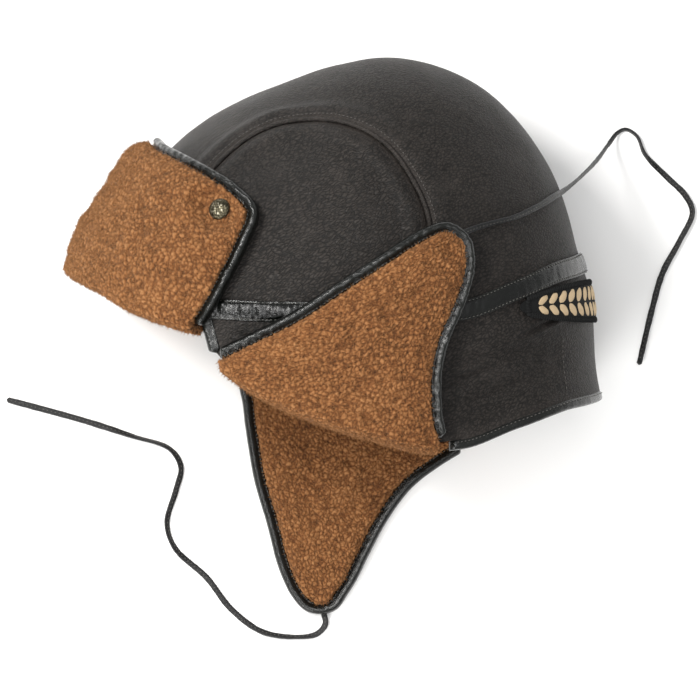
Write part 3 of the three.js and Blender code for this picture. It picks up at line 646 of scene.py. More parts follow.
# Height of what lies between the floor and the pressed leather
def stackUnder(offset):
    bandStack = shell["bandThick"] + 2 * layerGap
    flapStack = flapTop + shell["crush"]
    flapEdge = reach * -0.42 + 0.3 * np.maximum(0, offset[..., 1])
    width = shell["bandWidth"]
    under = fade(offset[..., 0], flapEdge, flapEdge + reach * 0.3)
    under = under * fade(-offset[..., 1], width, width * 3)
    return bandStack + (flapStack - bandStack) * under


# Points on the leather over body offsets and the way it faces, pressed onto what it lies on
def leatherFrame(offset):
    normal = bodySlope(offset)
    point = ear + offset - normal * dentDepth(offset)[..., None]
    settle = shell["settle"]
    support = stackUnder(offset)
    over = np.clip(point[..., 2] - support, -settle, settle)
    eased = (over + settle) / (2 * settle)
    point[..., 2] = np.where(over < settle, support + settle * eased ** 2, point[..., 2])
    normal = normal * np.stack([eased, eased, np.ones_like(eased)], axis=-1)
    return point, unit(normal)


def raised(placed, height):
    point, normal = placed
    return point + normal * np.asarray(height)[..., None]


def snapOffset(side):
    back, up = shell["snapPlace"]
    return sideOffset(np.array(back * reach), np.array(up * reach), side)


# As raised, but stopped by the floor or by the right snap cap that lies on it
def raisedOnFloor(placed, height):
    point = raised(placed, height)
    flat = ear + snapOffset(-1)
    away = np.hypot(point[..., 0] - flat[0], point[..., 1] - flat[1])
    room = shell["snapRadius"] * 3
    support = (shell["snapHeight"] + layerGap) * fade(away, room, room * 2)
    support = np.where(point[..., 2] < ear[2], support, 0)
    point[..., 2] = np.maximum(point[..., 2], support)
    return point


# A smooth run through points, read by share of its length
class Run:
    def __init__(self, points):
        points = np.asarray(points, float)
        ends = (2 * points[0] - points[1], 2 * points[-1] - points[-2])
        padded = np.vstack([ends[0], points, ends[1]])
        samples = []
        t = np.linspace(0, 1, 60, endpoint=False)[:, None]
        for before, a, b, after in zip(padded, padded[1:], padded[2:], padded[3:]):
            gaps = [np.linalg.norm(q - p) ** 0.5 for p, q in ((before, a), (a, b), (b, after))]
            leave = ((a - before) / gaps[0] - (b - before) / (gaps[0] + gaps[1])
                     + (b - a) / gaps[1]) * gaps[1]
            arrive = ((b - a) / gaps[1] - (after - a) / (gaps[1] + gaps[2])
                      + (after - b) / gaps[2]) * gaps[1]
            samples.append(a + leave * t + (3 * (b - a) - 2 * leave - arrive) * t ** 2
                           + (2 * (a - b) + leave + arrive) * t ** 3)
        self.samples = np.vstack([*samples, points[-1:]])
        steps = np.linalg.norm(np.diff(self.samples, axis=0), axis=1)
        self.along = np.concatenate([[0], np.cumsum(steps)])
        self.length = self.along[-1]

    def at(self, share):
        place = np.asarray(share, float) * self.length
        return np.stack([np.interp(place, self.along, self.samples[:, k]) for k in range(3)], -1)

    def heading(self, share):
        share = np.asarray(share, float)
        return unit(self.at(np.minimum(share + 0.002, 1)) - self.at(np.maximum(share - 0.002, 0)))


def sideRun(rows, side):
    back, up = np.array(rows, float).T * reach
    return Run(sideOffset(back, up, side))


# Smooth patch between four edges: bottom and top run along u, left and right along v
def edgePatch(bottom, top, left, right):
    corners = [edge(np.array([share]))[0] for edge, share in
               ((bottom, 0.0), (bottom, 1.0), (top, 0.0), (top, 1.0))]

    def place(u, v):
        across = left(v) * (1 - u)[:, None] + right(v) * u[:, None]
        along = bottom(u) * (1 - v)[:, None] + top(u) * v[:, None]
        shares = ((1 - u) * (1 - v), u * (1 - v), (1 - u) * v, u * v)
        return across + along - sum(s[:, None] * c for s, c in zip(shares, corners))

    return place


# Meshes: a grid from bmesh, placed by a function of u, v and w, where w is 1 on its outside

def placesOf(verts):
    return np.array([vertex.co[:] for vertex in verts])


def setVerts(verts, points, marks):
    for index, vertex in enumerate(verts):
        vertex.co = points[index]
        for layer, values in marks:
            vertex[layer] = values[index]


def placedGrid(grid, place, wall="sheet", wrap=False, relief=None):
    bm = bmesh.new()
    bmesh.ops.create_grid(bm, x_segments=grid[0], y_segments=grid[1], size=0.5)
    bmesh.ops.translate(bm, verts=bm.verts, vec=(0, 0, 1))
    if wall == "sheet":
        made = bmesh.ops.extrude_face_region(bm, geom=bm.faces[:], use_keep_orig=True)
    elif wall == "skirt":
        edges = [edge for edge in bm.edges if edge.is_boundary]
        made = bmesh.ops.extrude_edge_only(bm, edges=edges)
    else:
        made = {"geom": []}
    copies = [item for item in made["geom"] if isinstance(item, bmesh.types.BMVert)]
    bmesh.ops.translate(bm, verts=copies, vec=(0, 0, -1))
    if wrap:
        width = max(vertex.co.x for vertex in bm.verts) - 1e-4
        ends = [face for face in bm.faces
                if all(vertex.co.x < -width for vertex in face.verts)
                or all(vertex.co.x > width for vertex in face.verts)]
        bmesh.ops.delete(bm, geom=ends, context="FACES")
    spots = placesOf(bm.verts)
    u, v = (spots[:, k] - spots[:, k].min() for k in (0, 1))
    u, v, w = u / u.max(), v / v.max(), spots[:, 2]
    marks = {}
    points = place(u, v, w)
    if isinstance(points, tuple):
        points, marks = points
    layers = [(bm.verts.layers.float.new(name), values) for name, values in marks.items()]
    outer = bm.verts.layers.float.new("outer")
    setVerts(bm.verts, points, [*layers, (outer, w)])
    bmesh.ops.remove_doubles(bm, verts=bm.verts, dist=1e-3)
    if wall == "tube":
        edges = [edge for edge in bm.edges if edge.is_boundary]
        bmesh.ops.holes_fill(bm, edges=edges, sides=0)
    bmesh.ops.recalc_face_normals(bm, faces=bm.faces)
    if relief:
        raiseRelief(bm, relief, outer)
    return bm


# Moves the outside along its own normals and keeps the height as an attribute
def raiseRelief(bm, relief, outer):
    bm.normal_update()
    points = placesOf(bm.verts)
    normals = np.array([vertex.normal[:] for vertex in bm.verts])
    onOutside = np.array([vertex[outer] for vertex in bm.verts])
    move, name, mark = relief(points, normals)
    points = points + normals * (move * onOutside)[:, None]
    points[:, 2] = np.maximum(points[:, 2], 0.05)
    setVerts(bm.verts, points, [(bm.verts.layers.float.new(name), mark)])


def finished(bm, name, material, nodes=(), sharp=None):
    bmesh.ops.scale(bm, vec=(millimetre,) * 3, verts=bm.verts)
    for face in bm.faces:
        face.smooth = True
    if sharp:
        for edge in bm.edges:
            edge.smooth = edge.calc_face_angle(0) < sharp * degree
    mesh = bpy.data.meshes.new(name)
    bm.to_mesh(mesh)
    bm.free()
    mesh.materials.append(bpy.data.materials[material])
    piece = newObject(name, mesh)
    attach(piece, "root")
    if nodes:
        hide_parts(*nodes)
    print(name, len(mesh.polygons))
    return piece


# Ties: flat laces that twist, made first so that the camera's view is checked on them

laces = {
    "width": 3.0, "thick": 1.15, "around": 14, "pitch": 0.9, "stitchPitch": 2.1,
    "left": {
        "route": [
            [62.7, 49.95, 161.1], [70, 53, 154.6], [78.6, 55.6, 149], [88.8, 58.2, 141.6],
            [100.8, 63.8, 128.8], [109.6, 69.2, 112], [114.8, 72.4, 92], [120, 76.5, 72],
            [127, 83, 48], [133, 89.5, 24], [138.5, 97, 7], [143, 102.5, 1.9],
            [147, 104, 1.6], [152.5, 100.5, 1.6], [156.5, 91.5, 1.6], [167.5, 80, 1.6],
            [177, 70.5, 1.6], [180.5, 62, 1.6], [174, 47.5, 1.6], [165.5, 31.5, 1.6],
            [160, 12.5, 1.6], [153.5, -15, 1.6],
        ],
        # share of the length, turn of the flat side in degrees
        "twist": [(0, 10), (0.08, 40), (0.2, 15), (0.34, 60), (0.5, 40), (0.62, 70), (0.7, 10),
                  (0.78, 35), (0.88, 0), (1, 25)],
    },
    "right": {
        "route": [
            [-6.2, -138.9, 1.6], [-5, -146, 1.6], [-9, -150.8, 1.6], [-17.5, -152.5, 1.6],
            [-36.5, -150, 1.6], [-52.5, -138.5, 1.6], [-65, -122.5, 1.6], [-81, -107.5, 1.6],
            [-85, -95, 1.6], [-80.5, -78.5, 1.6], [-78, -66.5, 1.6], [-83.5, -57.5, 1.6],
            [-102.5, -51, 1.6], [-127.5, -43, 1.6], [-166, -32.5, 1.6],
        ],
        "twist": [(0, 0), (0.1, 50), (0.2, 10), (0.34, 0), (0.45, 45), (0.55, 15), (0.7, 60),
                  (0.8, 5), (1, 0)],
    },
}


def laceFrames(run, twist, share):
    point = run.at(share)
    heading = run.heading(share)
    upright = np.zeros_like(point)
    upright[:, 2] = 1
    steep = np.abs(heading[:, 2]) > 0.8
    upright[steep] = (0.75, 0.55, 0.35)
    across = unit(np.cross(upright, heading))
    lift = np.cross(heading, across)
    turn = tableCurve(twist)(share)[:, None] * degree
    flat = across * np.cos(turn) + lift * np.sin(turn)
    return point, heading, flat, np.cross(heading, flat)


def makeLace(side):
    plan = laces[side]
    run = Run(plan["route"])
    steps = int(run.length / laces["pitch"])

    def place(u, v, w):
        point, heading, flat, facing = laceFrames(run, plan["twist"], u)
        around = v * 2 * math.pi
        sides = squared(np.cos(around), 0.7)
        lift = squared(np.sin(around), 0.6)
        groove = 1 - 0.3 * bell(sides, 0.25)
        uneven = 1 + 0.08 * softNoise(point, 4.0, 3) + 0.05 * softNoise(point, 1.5, 5)
        end = ending(u, run.length / 0.8, 0.05)
        placed = point + flat * (sides * laces["width"] / 2 * uneven * end)[:, None]
        placed += facing * (lift * groove * laces["thick"] / 2 * end)[:, None]
        placed[:, 2] = np.maximum(placed[:, 2], 0.05)
        # The edge mark on the lace's edges is partly wear, partly painted highlight
        return placed, {"edge": np.abs(sides) ** 6}

    bm = placedGrid((steps, laces["around"]), place, wall="tube")
    piece = finished(bm, f"{side}_lace", "lace_hide", [f"{side}_tie"])
    path = run.at(np.linspace(0, 1, 120)) * millimetre
    share = np.arange(2, run.length - 2, laces["stitchPitch"]) / run.length
    point, heading, flat, facing = laceFrames(run, plan["twist"], share)
    seat = laces["thick"] * 0.45
    for sign in (1, -1):
        row = (point + facing * seat * sign, heading, facing * sign, 1.15, 0.5)
        stitchRows.setdefault("lace_stitches", []).append(row)


# Stitches: rows of small raised threads, gathered by name and made at the end

stitchRows = {}
stitch = {"height": 0.45, "overFloor": 0.3}
brownRows = ("crown_stitches", "neck_stitches", "hem_stitches")


def addStitches(name, placed, heading, length, width, lift):
    row = (raised(placed, lift), heading, placed[1], length, width)
    stitchRows.setdefault(name, []).append(row)


# Stitches at spots on a line of the leather, which a function of the spot gives
def sewLine(name, line, spots, step, length, width, lift):
    heading = unit(line(spots + step)[0] - line(spots - step)[0])
    addStitches(name, line(spots), heading, length, width, lift)


def makeStitches():
    for name, rows in stitchRows.items():
        bm = bmesh.new()
        for points, headings, facings, length, width in rows:
            for point, heading, facing in zip(points, headings, facings):
                if point[2] < stitch["overFloor"]:
                    continue
                across = unit(np.cross(facing, heading))
                up = np.cross(heading, across)
                shape = np.eye(4)
                shape[:3, 0] = heading * length
                shape[:3, 1] = across * width
                shape[:3, 2] = up * stitch["height"]
                shape[:3, 3] = point
                bmesh.ops.create_icosphere(bm, subdivisions=1, radius=0.5, matrix=Matrix(shape))
        thread = "brown_thread" if name in brownRows else "waxed_thread"
        finished(bm, name, thread)


# Crown

crown = {"centreGrid": (170, 96), "sideGrid": (90, 64), "corner": 0.22}
seam = {"weltRadius": 1.3, "weltPitch": 1.1, "weltSides": 10, "tuck": 0.9, "dip": 1.4,
        "dipWidth": 1.8, "puff": 1.5, "puffFrom": 8, "puffWidth": 4.2,
        "stitchFrom": 3.4, "stitchPitch": 2.1, "stitchLift": 0.32}
centre = np.zeros(3)
sharpEdge = 40  # degrees past which a leather edge is shaded sharp


def seamOf(side):
    run = sideRun(seamLine, side)
    shares = np.linspace(0, 1, 501)
    here = run.at(shares)
    above = shares[here[:, 1] + ear[1] > bandHeight(turnOf(here)) + 1]
    return run, above[0], above[-1]


seams = {side: seamOf(side) for side in (1, -1)}
seamSamples = np.vstack([run.at(np.linspace(first, last, 400))
                         for run, first, last in seams.values()])


def seamEdge(side, shift, first=0.0, last=1.0):
    run, start, end = seams[side]

    def edge(t):
        share = start + (end - start) * (first + (last - first) * t)
        here = run.at(share)
        across = unit(np.cross(bodySlope(here), run.heading(share)))
        return here - across * side * shift

    return edge


def crownFoot(fromTurn, toTurn):
    def edge(t):
        turn = fromTurn + (toTurn - fromTurn) * t
        return ringOffset(bandHeight(turn) + 1, turn)

    return edge


def startTurn(edge, t):
    return turnOf(edge(np.array([t])))[0]


def awayFromSeam(offset):
    away = np.full(len(offset), 1e9)
    for sample in np.array_split(seamSamples, 40):
        gaps = np.linalg.norm(offset[:, None, :] - sample[None], axis=2)
        away = np.minimum(away, gaps.min(axis=1))
    return away


# Soft waves of a hide that has been folded and worn, in millimetres
def hideWaves(point):
    broad = softNoise(point * (1, 0.7, 1), 30, 11) * 0.55
    mid = softNoise(point * (0.7, 1.2, 1), 11, 12) * 0.16
    small = softNoise(point, 4.5, 13) * 0.05
    return broad + mid + small


def crownRise(point, away):
    dip = seam["dip"] * bell(away, seam["dipWidth"])
    puff = seam["puff"] * bell(away - seam["puffFrom"], seam["puffWidth"])
    free = smoothStep(point[:, 2], 3, 20)
    return (puff + hideWaves(point) * smoothStep(away, 1, 8)) * free - dip


def crownLeather(patch):
    def place(u, v, w):
        offset = bodyMeets(centre, patch(u, v))
        placed = leatherFrame(offset)
        away = awayFromSeam(offset)
        height = crownRise(placed[0], away)
        # The edge mark on the strip beside the seam is partly wear, partly painted highlight
        return raised(placed, height + (w - 1) * leather), {"edge": bell(away - 2.2, 1.4)}

    return place


def sewLeather(bm, name, node):
    finished(bm, name, "crown_hide", [node], sharpEdge)


def makeCrown():
    left, right = seamEdge(1, seam["tuck"]), seamEdge(-1, seam["tuck"])
    nape = crownFoot(startTurn(left, 0.0), startTurn(right, 0.0))
    brow = crownFoot(startTurn(left, 1.0), 360 + startTurn(right, 1.0))
    place = crownLeather(edgePatch(left, right, nape, brow))
    bm = placedGrid(crown["centreGrid"], place)
    sewLeather(bm, "crown_centre_leather", "crown_centre_panel")
    corner = crown["corner"]
    for side, name in ((1, "left"), (-1, "right")):
        napeEnd = seamEdge(side, -seam["tuck"], 0.0, corner)
        browEnding = seamEdge(side, -seam["tuck"], 1.0, 1 - corner)
        arc = seamEdge(side, -seam["tuck"], 1 - corner, corner)
        foot = crownFoot(startTurn(browEnding, 0.0), startTurn(napeEnd, 0.0))
        place = crownLeather(edgePatch(foot, arc, browEnding, napeEnd))
        bm = placedGrid(crown["sideGrid"], place)
        sewLeather(bm, f"crown_{name}_leather", f"crown_{name}_panel")
        makeWelt(side, name)


def makeWelt(side, name):
    run, start, end = seams[side]
    length = run.length * (end - start)
    radius = seam["weltRadius"]

    def place(u, v, w):
        share = start + (end - start) * (0.012 + 0.976 * u)
        here = run.at(share)
        placed = leatherFrame(here)
        across = unit(np.cross(placed[1], run.heading(share)))
        around = v * 2 * math.pi
        swell = radius * (1 + 0.06 * softNoise(here, 2.2, 21))
        point = raisedOnFloor(placed, swell * (np.cos(around) - 0.2))
        # The edge mark on the welt's crest and underside is partly wear, partly painted highlight
        return point + across * (swell * np.sin(around))[:, None], {"edge": np.cos(around) ** 4}

    bm = placedGrid((int(length / seam["weltPitch"]), seam["weltSides"]), place, wall="tube")
    finished(bm, f"crown_{name}_piping", "crown_hide", [f"crown_{name}_welt"])
    share = start + (end - start) * np.arange(3, length - 3, seam["stitchPitch"]) / length
    here = run.at(share)
    heading = run.heading(share)
    across = unit(np.cross(bodySlope(here), heading))
    spot = bodyMeets(centre, here - across * side * seam["stitchFrom"])
    placed = leatherFrame(spot)
    lift = crownRise(placed[0], awayFromSeam(spot)) + seam["stitchLift"]
    addStitches("crown_stitches", placed, heading, 1.3, 0.5, lift)


# Band

band = {"grid": (760, 30), "wrinkles": 0.75, "crest": 0.9, "groove": 0.45,
        "stitchPitch": 2.1, "stitchFrom": 4.1}


def makeBand():
    width, thick = shell["bandWidth"], shell["bandThick"]

    def place(u, v, w):
        turn = u * 360
        around = v * 2 * math.pi
        across = squared(np.cos(around), 0.5)
        lift = squared(np.sin(around), 0.8)
        height = bandHeight(turn) + across * width * 0.5
        placed = leatherFrame(ringOffset(height, turn))
        front = smoothStep(foldTurn(turn), 70, 110)
        ripple = softNoise(placed[0] * (1.5, 0.4, 1), 2.2, 31) * band["wrinkles"] * (0.25 + front)
        crest = band["crest"] * (1 - across ** 2) * (0.3 + front)
        groove = band["groove"] * bell(np.abs(across) - 0.82, 0.1)
        folds = (lift > 0) * (ripple * (1 - across ** 4) + crest - groove)
        up = layerGap + thick * (0.5 + 0.5 * lift) + folds * smoothStep(placed[0][:, 2], 3, 12)
        return raisedOnFloor(placed, up), {"edge": np.abs(across) ** 8}

    bm = placedGrid(band["grid"], place, wall="tube", wrap=True)
    finished(bm, "band_leather", "trim_hide", ["band"])
    turns = np.linspace(0, 360, 2400)
    middle = ringOffset(bandHeight(turns), turns)
    along = np.concatenate([[0], np.cumsum(np.linalg.norm(np.diff(middle, axis=0), axis=1))])
    spots = np.interp(np.arange(0, along[-1], band["stitchPitch"]), along, turns)
    for side in (1, -1):

        def line(turn):
            return leatherFrame(ringOffset(bandHeight(turn) + side * band["stitchFrom"], turn))

        sewLine("band_stitches", line, spots, 0.3, 1.35, 0.52, layerGap + thick - 0.05)


# Neck and its bound lower edge

neck = {
    "grid": (380, 50), "seamTurn": 22.5, "seamDrop": (34, 59), "spread": 1.9,
    # creases: turn and drop from and to, depth, width
    "creases": [
        ((58, 20), (30, 33), 0.9, 2.6), ((60, 36), (38, 30), 0.8, 2.2),
        ((50, 46), (26, 44), 0.6, 2.4), ((36, 23), (4, 16), 1.4, 1.3),
        ((-20, 30), (-50, 22), 0.9, 2.5), ((108, 18), (122, 10), 0.6, 1.6),
        ((100, 12), (118, 16), 0.5, 1.5),
    ],
    "stitchPitch": 2.6,
}


def neckRelief(turn, drop):
    depth = np.zeros_like(turn)
    spread = neck["spread"]  # millimetres to a degree round the head
    for (turnA, dropA), (turnB, dropB), deep, width in neck["creases"]:
        a = np.array([turnA * spread, dropA])
        b = np.array([turnB * spread, dropB])
        here = np.stack([((turn + 180) % 360 - 180) * spread, drop], axis=-1)
        share = np.clip(((here - a) @ (b - a)) / ((b - a) @ (b - a)), 0, 1)
        away = np.linalg.norm(here - a - share[:, None] * (b - a), axis=1)
        taper = np.sin(math.pi * np.clip(share, 0.02, 0.98)) ** 0.5
        depth -= deep * taper * (bell(away, width) - 0.5 * bell(away - 2 * width, width))
    return depth


def neckRise(turn, v, point):
    drop = (bandHeight(turn) - 1 - lowerHeight(turn)) * v
    free = smoothStep(point[:, 2], 4, 22)
    settled = smoothStep(v, 0, 0.12) * fade(v, 0.86, 1)
    return (neckRelief(turn, drop) + 0.8 * hideWaves(point)) * free * settled


def makeNeck():
    def place(u, v, w):
        turn = u * 360
        top, low = bandHeight(turn) - 1, lowerHeight(turn)
        placed = leatherFrame(ringOffset(top + (low - top) * v, turn))
        height = neckRise(turn, v, placed[0]) - (1 - w) * leather
        return raised(placed, height), {"edge": smoothStep(v, 0.9, 1) * 0.5}

    bm = placedGrid(neck["grid"], place, wrap=True)
    sewLeather(bm, "neck_leather", "neck")
    drops = np.arange(*neck["seamDrop"], neck["stitchPitch"])
    turn = np.full_like(drops, neck["seamTurn"])

    def line(drop):
        return leatherFrame(ringOffset(bandHeight(turn) - drop, turn))

    share = (drops - 1) / (bandHeight(turn) - 1 - lowerHeight(turn))
    lift = neckRise(turn, share, line(drops)[0]) + 0.12
    sewLine("neck_stitches", line, drops, 0.5, 1.5, 0.45, lift)


# Across and up, from -1 to 1, round a bar with soft corners
def roundBar(share):
    around = share * 2 * math.pi
    return squared(np.cos(around), 0.62), squared(np.sin(around), 0.62)


hem = {"height": 5.6, "depth": 8, "leftTurn": 55.5, "rightTurn": 47, "steps": 240, "around": 18,
       "overlap": 0.7, "proud": 0.75, "stitches": 96}


def makeHem():
    def place(u, v, w):
        turn = hem["leftTurn"] - (hem["leftTurn"] + hem["rightTurn"]) * u
        across, up = roundBar(v)
        down = hem["height"] * (0.5 - 0.5 * across) - hem["overlap"]
        placed = leatherFrame(ringOffset(lowerHeight(turn) - down, turn))
        wrinkle = 0.12 * softNoise(placed[0], 1.8, 41) + 0.2 * softNoise(placed[0], 7, 42)
        height = hem["proud"] + hem["depth"] * (0.5 * up * ending(u, 90, 0.1) - 0.5)
        # The edge mark on the hem's top is partly wear, partly painted highlight
        return raisedOnFloor(placed, height + wrinkle * (up > 0)), {"edge": up ** 8 * 0.6}

    bm = placedGrid((hem["steps"], hem["around"]), place, wall="tube")
    finished(bm, "hem_leather", "trim_hide", ["hem_binding"])
    turns = np.linspace(hem["leftTurn"] - 2, 2 - hem["rightTurn"], hem["stitches"])

    def line(turn):
        return leatherFrame(ringOffset(lowerHeight(turn) - 0.9, turn))

    sewLine("hem_stitches", line, turns, -0.3, 1.35, 0.45, hem["proud"] + 0.1)


# Wool

def curls(strength, size):
    def relief(points, normals):
        cell = wool["curlSize"] * size
        warp = np.stack([softNoise(points, 2.6, 50 + k) for k in range(3)], axis=1)
        ragged = np.stack([softNoise(points, 1.0, 54 + k) for k in range(3)], axis=1)
        nearest, second, tone = cellNoise(points + 0.8 * warp + 0.35 * ragged, cell, 60)
        edge = smoothStep(second - nearest, -0.05, 0.42)
        dome = edge * (1 - 0.6 * nearest ** 2)
        knot = 1 - cellNoise(points + 0.3 * warp, 1.35, 64)[0] ** 2
        clump = softNoise(points, 9, 71)
        fine = softNoise(points, 1.1, 72)
        height = 0.6 * dome + 0.2 * tone + 0.15 * clump + 0.2 * knot + 0.08 * fine
        # The curl mark is painted shade: low in the crevices between cells, high on the domes
        mark = np.clip(0.02 + 0.68 * edge + 0.06 * tone + 0.14 * knot + 0.06 * fine, 0, 1)
        return (height - 0.65) * wool["curlHeight"] * strength, "curl", mark

    return relief


# Loose ends of the wool: short thin spikes all over it, which blur its outline
wisps = {"doublings": 15, "long": (1.2, 2.8), "thick": 0.17, "lean": 0.9}
wispSeats = []


# The side walls' faces come in another order in each run, so they are sorted by place
def gatherWisps(bm):
    bm.normal_update()
    outer = bm.verts.layers.float["outer"]

    def order(face):
        onSide = any(vertex[outer] < 0.5 for vertex in face.verts)
        return tuple(round(part, 2) for part in face.calc_center_median()) if onSide else ()

    faces = sorted(bm.faces, key=order)
    seats = [(face.calc_center_median(), face.normal, face.calc_area()) for face in faces]
    wispSeats.append([np.array([seat[k] for seat in seats]) for k in range(3)])


def makeWisps():
    bm = bmesh.new()
    bmesh.ops.create_cone(bm, cap_ends=False, segments=3, radius1=1, radius2=0, depth=1)
    number = bm.verts.layers.int.new("wisp")
    count = 1
    for _ in range(wisps["doublings"]):
        made = bmesh.ops.duplicate(bm, geom=bm.verts[:] + bm.edges[:] + bm.faces[:])
        for item in made["geom"]:
            if isinstance(item, bmesh.types.BMVert):
                item[number] += count
        count *= 2
    points, normals, areas = (np.concatenate(rows) for rows in zip(*wispSeats))
    random = np.random.default_rng(5)
    areas = areas * (points[:, 2] > 1) * (0.15 + smoothStep(normals[:, 2], -0.4, 0.1))
    picked = random.choice(len(points), count, p=areas / areas.sum())
    away = unit(normals[picked] + wisps["lean"] * random.uniform(-1, 1, (count, 3)))
    long = random.uniform(*wisps["long"], count)
    side = unit(np.cross(away, random.uniform(-1, 1, (count, 3))))
    third = np.cross(away, side)
    origin = points[picked] + random.uniform(-0.25, 0.25, (count, 3))
    of = np.array([vertex[number] for vertex in bm.verts])
    shape = placesOf(bm.verts)
    placed = origin[of] + (side[of] * shape[:, :1] + third[of] * shape[:, 1:2]) * wisps["thick"]
    placed = placed + (away * long[:, None])[of] * (shape[:, 2:] + 0.4)
    # The wisps' tips are painted lighter than their roots, a painted light on the fuzz, with a
    # random tone
    tone = 0.4 + 0.3 * random.random(count)[of] + 0.35 * (shape[:, 2] > 0)
    placed[:, 2] = np.maximum(placed[:, 2], 0.05)
    bm.verts.layers.int.remove(number)
    setVerts(bm.verts, placed, [(bm.verts.layers.float.new("curl"), tone)])
    finished(bm, "fleece_wisps", "caramel_fleece")


# Low lumps over the wool, as on the part's
def lump(a, b):
    return (np.sin(a * 0.31 + 1.7 * np.sin(b * 0.17))
            * np.sin(b * 0.37 + 1.3 * np.sin(a * 0.19 + 2)))


def woolThickness(full, u, v, point):
    fromEdge = np.minimum(1, 5 * np.minimum(np.minimum(u, 1 - u), 1 - v))
    fromEdge = np.maximum(fromEdge, 0)
    thickness = shell["edgeWool"] + (full - shell["edgeWool"]) * np.sqrt(fromEdge * (2 - fromEdge))
    lumps = shell["lumps"] * 0.5 * fromEdge * lump(point[:, 0], point[:, 1])
    return thickness + lumps


# Wool round a fold: up the flap for shares over the roll's, rolled under it below
def foldedWool(frameAt, thickness):
    insideDeep = leather + shell["liningGap"] + shell["liningWool"]
    rollShare = 0.25

    def place(u, v, w):
        none = np.zeros_like(u)
        onFlap = np.clip((v - rollShare) / (1 - rollShare), 0, 1)
        frame = frameAt(u, onFlap, none)
        flat = raisedOnFloor(frame, flapTop + w * thickness(u, onFlap, frame[0]))
        around = np.clip(1 - v / rollShare, 0, 1) * math.pi
        high = flapTop + w * thickness(u, none, frameAt(u, none, none)[0])
        low = np.where(w > 0.5, -insideDeep, -leather - shell["liningGap"])
        roll = np.where(w > 0.5, shell["foldRoll"], layerGap)
        down = shell["liningGap"] + roll * np.sin(around)
        turned = raisedOnFloor(frameAt(u, none, down),
                               (high + low) / 2 + (high - low) / 2 * np.cos(around))
        return np.where((v >= rollShare)[:, None], flat, turned)

    return place


lining = {"grid": (280, 130), "crownShare": 0.68, "fill": 0.5, "curls": (1.0, 1.15)}


def makeLining():
    crownShare = lining["crownShare"]
    up = np.array([0.0, 1.0, 0.0])

    def frameAt(turn, share):
        foot = ringOffset(bandHeight(turn), turn)
        lean = np.arccos(np.clip(unit(foot) @ up, -1, 1)) * share / crownShare
        axis = unit(np.cross(np.broadcast_to(up, foot.shape), foot))
        leaned = up * np.cos(lean)[:, None] + np.cross(axis, up) * np.sin(lean)[:, None]
        lowest = lowerHeight(turn) + 3 * layerGap
        drop = np.clip((share - crownShare) / (1 - crownShare), 0, 1)
        height = bandHeight(turn) + (lowest - bandHeight(turn)) * drop
        offset = np.where((share < crownShare)[:, None], bodyMeets(centre, leaned),
                          ringOffset(height, turn))
        return leatherFrame(offset)

    def place(u, v, w):
        depth = leather + shell["liningGap"] + w * shell["liningWool"]
        point = raised(frameAt(u * 360, v), -depth)
        point[:, 2] = np.maximum(point[:, 2], 0.3)
        return point

    bm = placedGrid(lining["grid"], place, wall="skirt", wrap=True,
                    relief=inward(curls(*lining["curls"])))
    piece = finished(bm, "lining_fleece", "caramel_fleece", ["wool_lining"])


# The lining's faces are turned towards the head, whatever the skirt makes of them
def inward(relief):
    def turned(points, normals):
        move, name, mark = relief(points, normals)
        towards = ear + (0, -20, 0) - points
        facing = np.sum(towards * normals, axis=1) > 0
        return np.where(facing, move, -move), name, mark

    return turned


# Flaps

def insetPoint(run, share, inset):
    here = run.at(share)
    heading = run.heading(share)
    length = np.hypot(heading[..., 0], heading[..., 1])
    side = np.sign(here[..., 2])
    return sideOffset(here[..., 0] - heading[..., 1] / length * inset,
                      here[..., 1] + heading[..., 0] / length * inset, side)


def flapEdges(frontRows, backRows, side, lift, inward, narrow):
    front, back = sideRun(frontRows, side), sideRun(backRows, side)
    width = shell["bindingWidth"]
    shares = np.linspace(0, 1, 501)

    def shareAtFold(run, inset, clear):
        here = insetPoint(run, shares, inset)
        past = side * (here[:, 1] + ear[1] - lowerHeight(turnOf(here)) - lift)
        return shares[np.argmax(past >= clear)]

    inset = side * inward
    between = insetPoint(back, shares, inset)[:, 0] - insetPoint(front, shares, -inset)[:, 0]
    end = shares[between >= narrow][-1]

    def edge(run, sideways, clear, last):
        start = shareAtFold(run, sideways, clear)
        return lambda t: insetPoint(run, start + (last - start) * t, sideways)

    steps = np.linspace(0, 1, 13)
    rim = Run(np.vstack([edge(front, -side * width * 0.5, width * 0.5, 0.97)(steps),
                         edge(back, side * width * 0.5, width * 0.5, 0.97)(steps[::-1])]))
    return edge(front, -inset, 0, end), edge(back, inset, 0, end), rim


def foldLine(fromTurn, toTurn, lift):
    def edge(t):
        turn = fromTurn + (toTurn - fromTurn) * t
        return ringOffset(lowerHeight(turn) + lift, turn)

    return edge


def flapPatch(front, back, lift):
    fold = foldLine(startTurn(front, 0.0), startTurn(back, 0.0), lift)
    ends = front(np.array([1.0])), back(np.array([1.0]))

    def tip(t):
        return ends[0] * (1 - t)[:, None] + ends[1] * t[:, None]

    return edgePatch(fold, tip, front, back)


flapReach = (3.7, 4.5)  # how far in from the flap's outline, and the narrowest at its tip
flaps = {
    "left_flap": {"node": "left_ear_flap", "leather": (40, 40), "fleece": (210, 240),
                  "curls": (0.9, 0.88), "fill": 0.6},
    "right_flap": {"node": "right_ear_flap", "leather": (60, 60), "fleece": (200, 210),
                   "curls": (0.8, 0.88), "fill": 0.6},
    "brow_flap": {"node": "brow_flap", "leather": (110, 40), "fleece": (440, 205),
                  "curls": (1.0, 1.0), "fill": 0.7},
}
binding = {"around": 28, "pitch": 0.85, "wrinkle": 0.2, "stitchPitch": 2.1, "half": 3.1,
           "outward": 1.3, "strip": 0.55, "stitchPlace": -0.66}


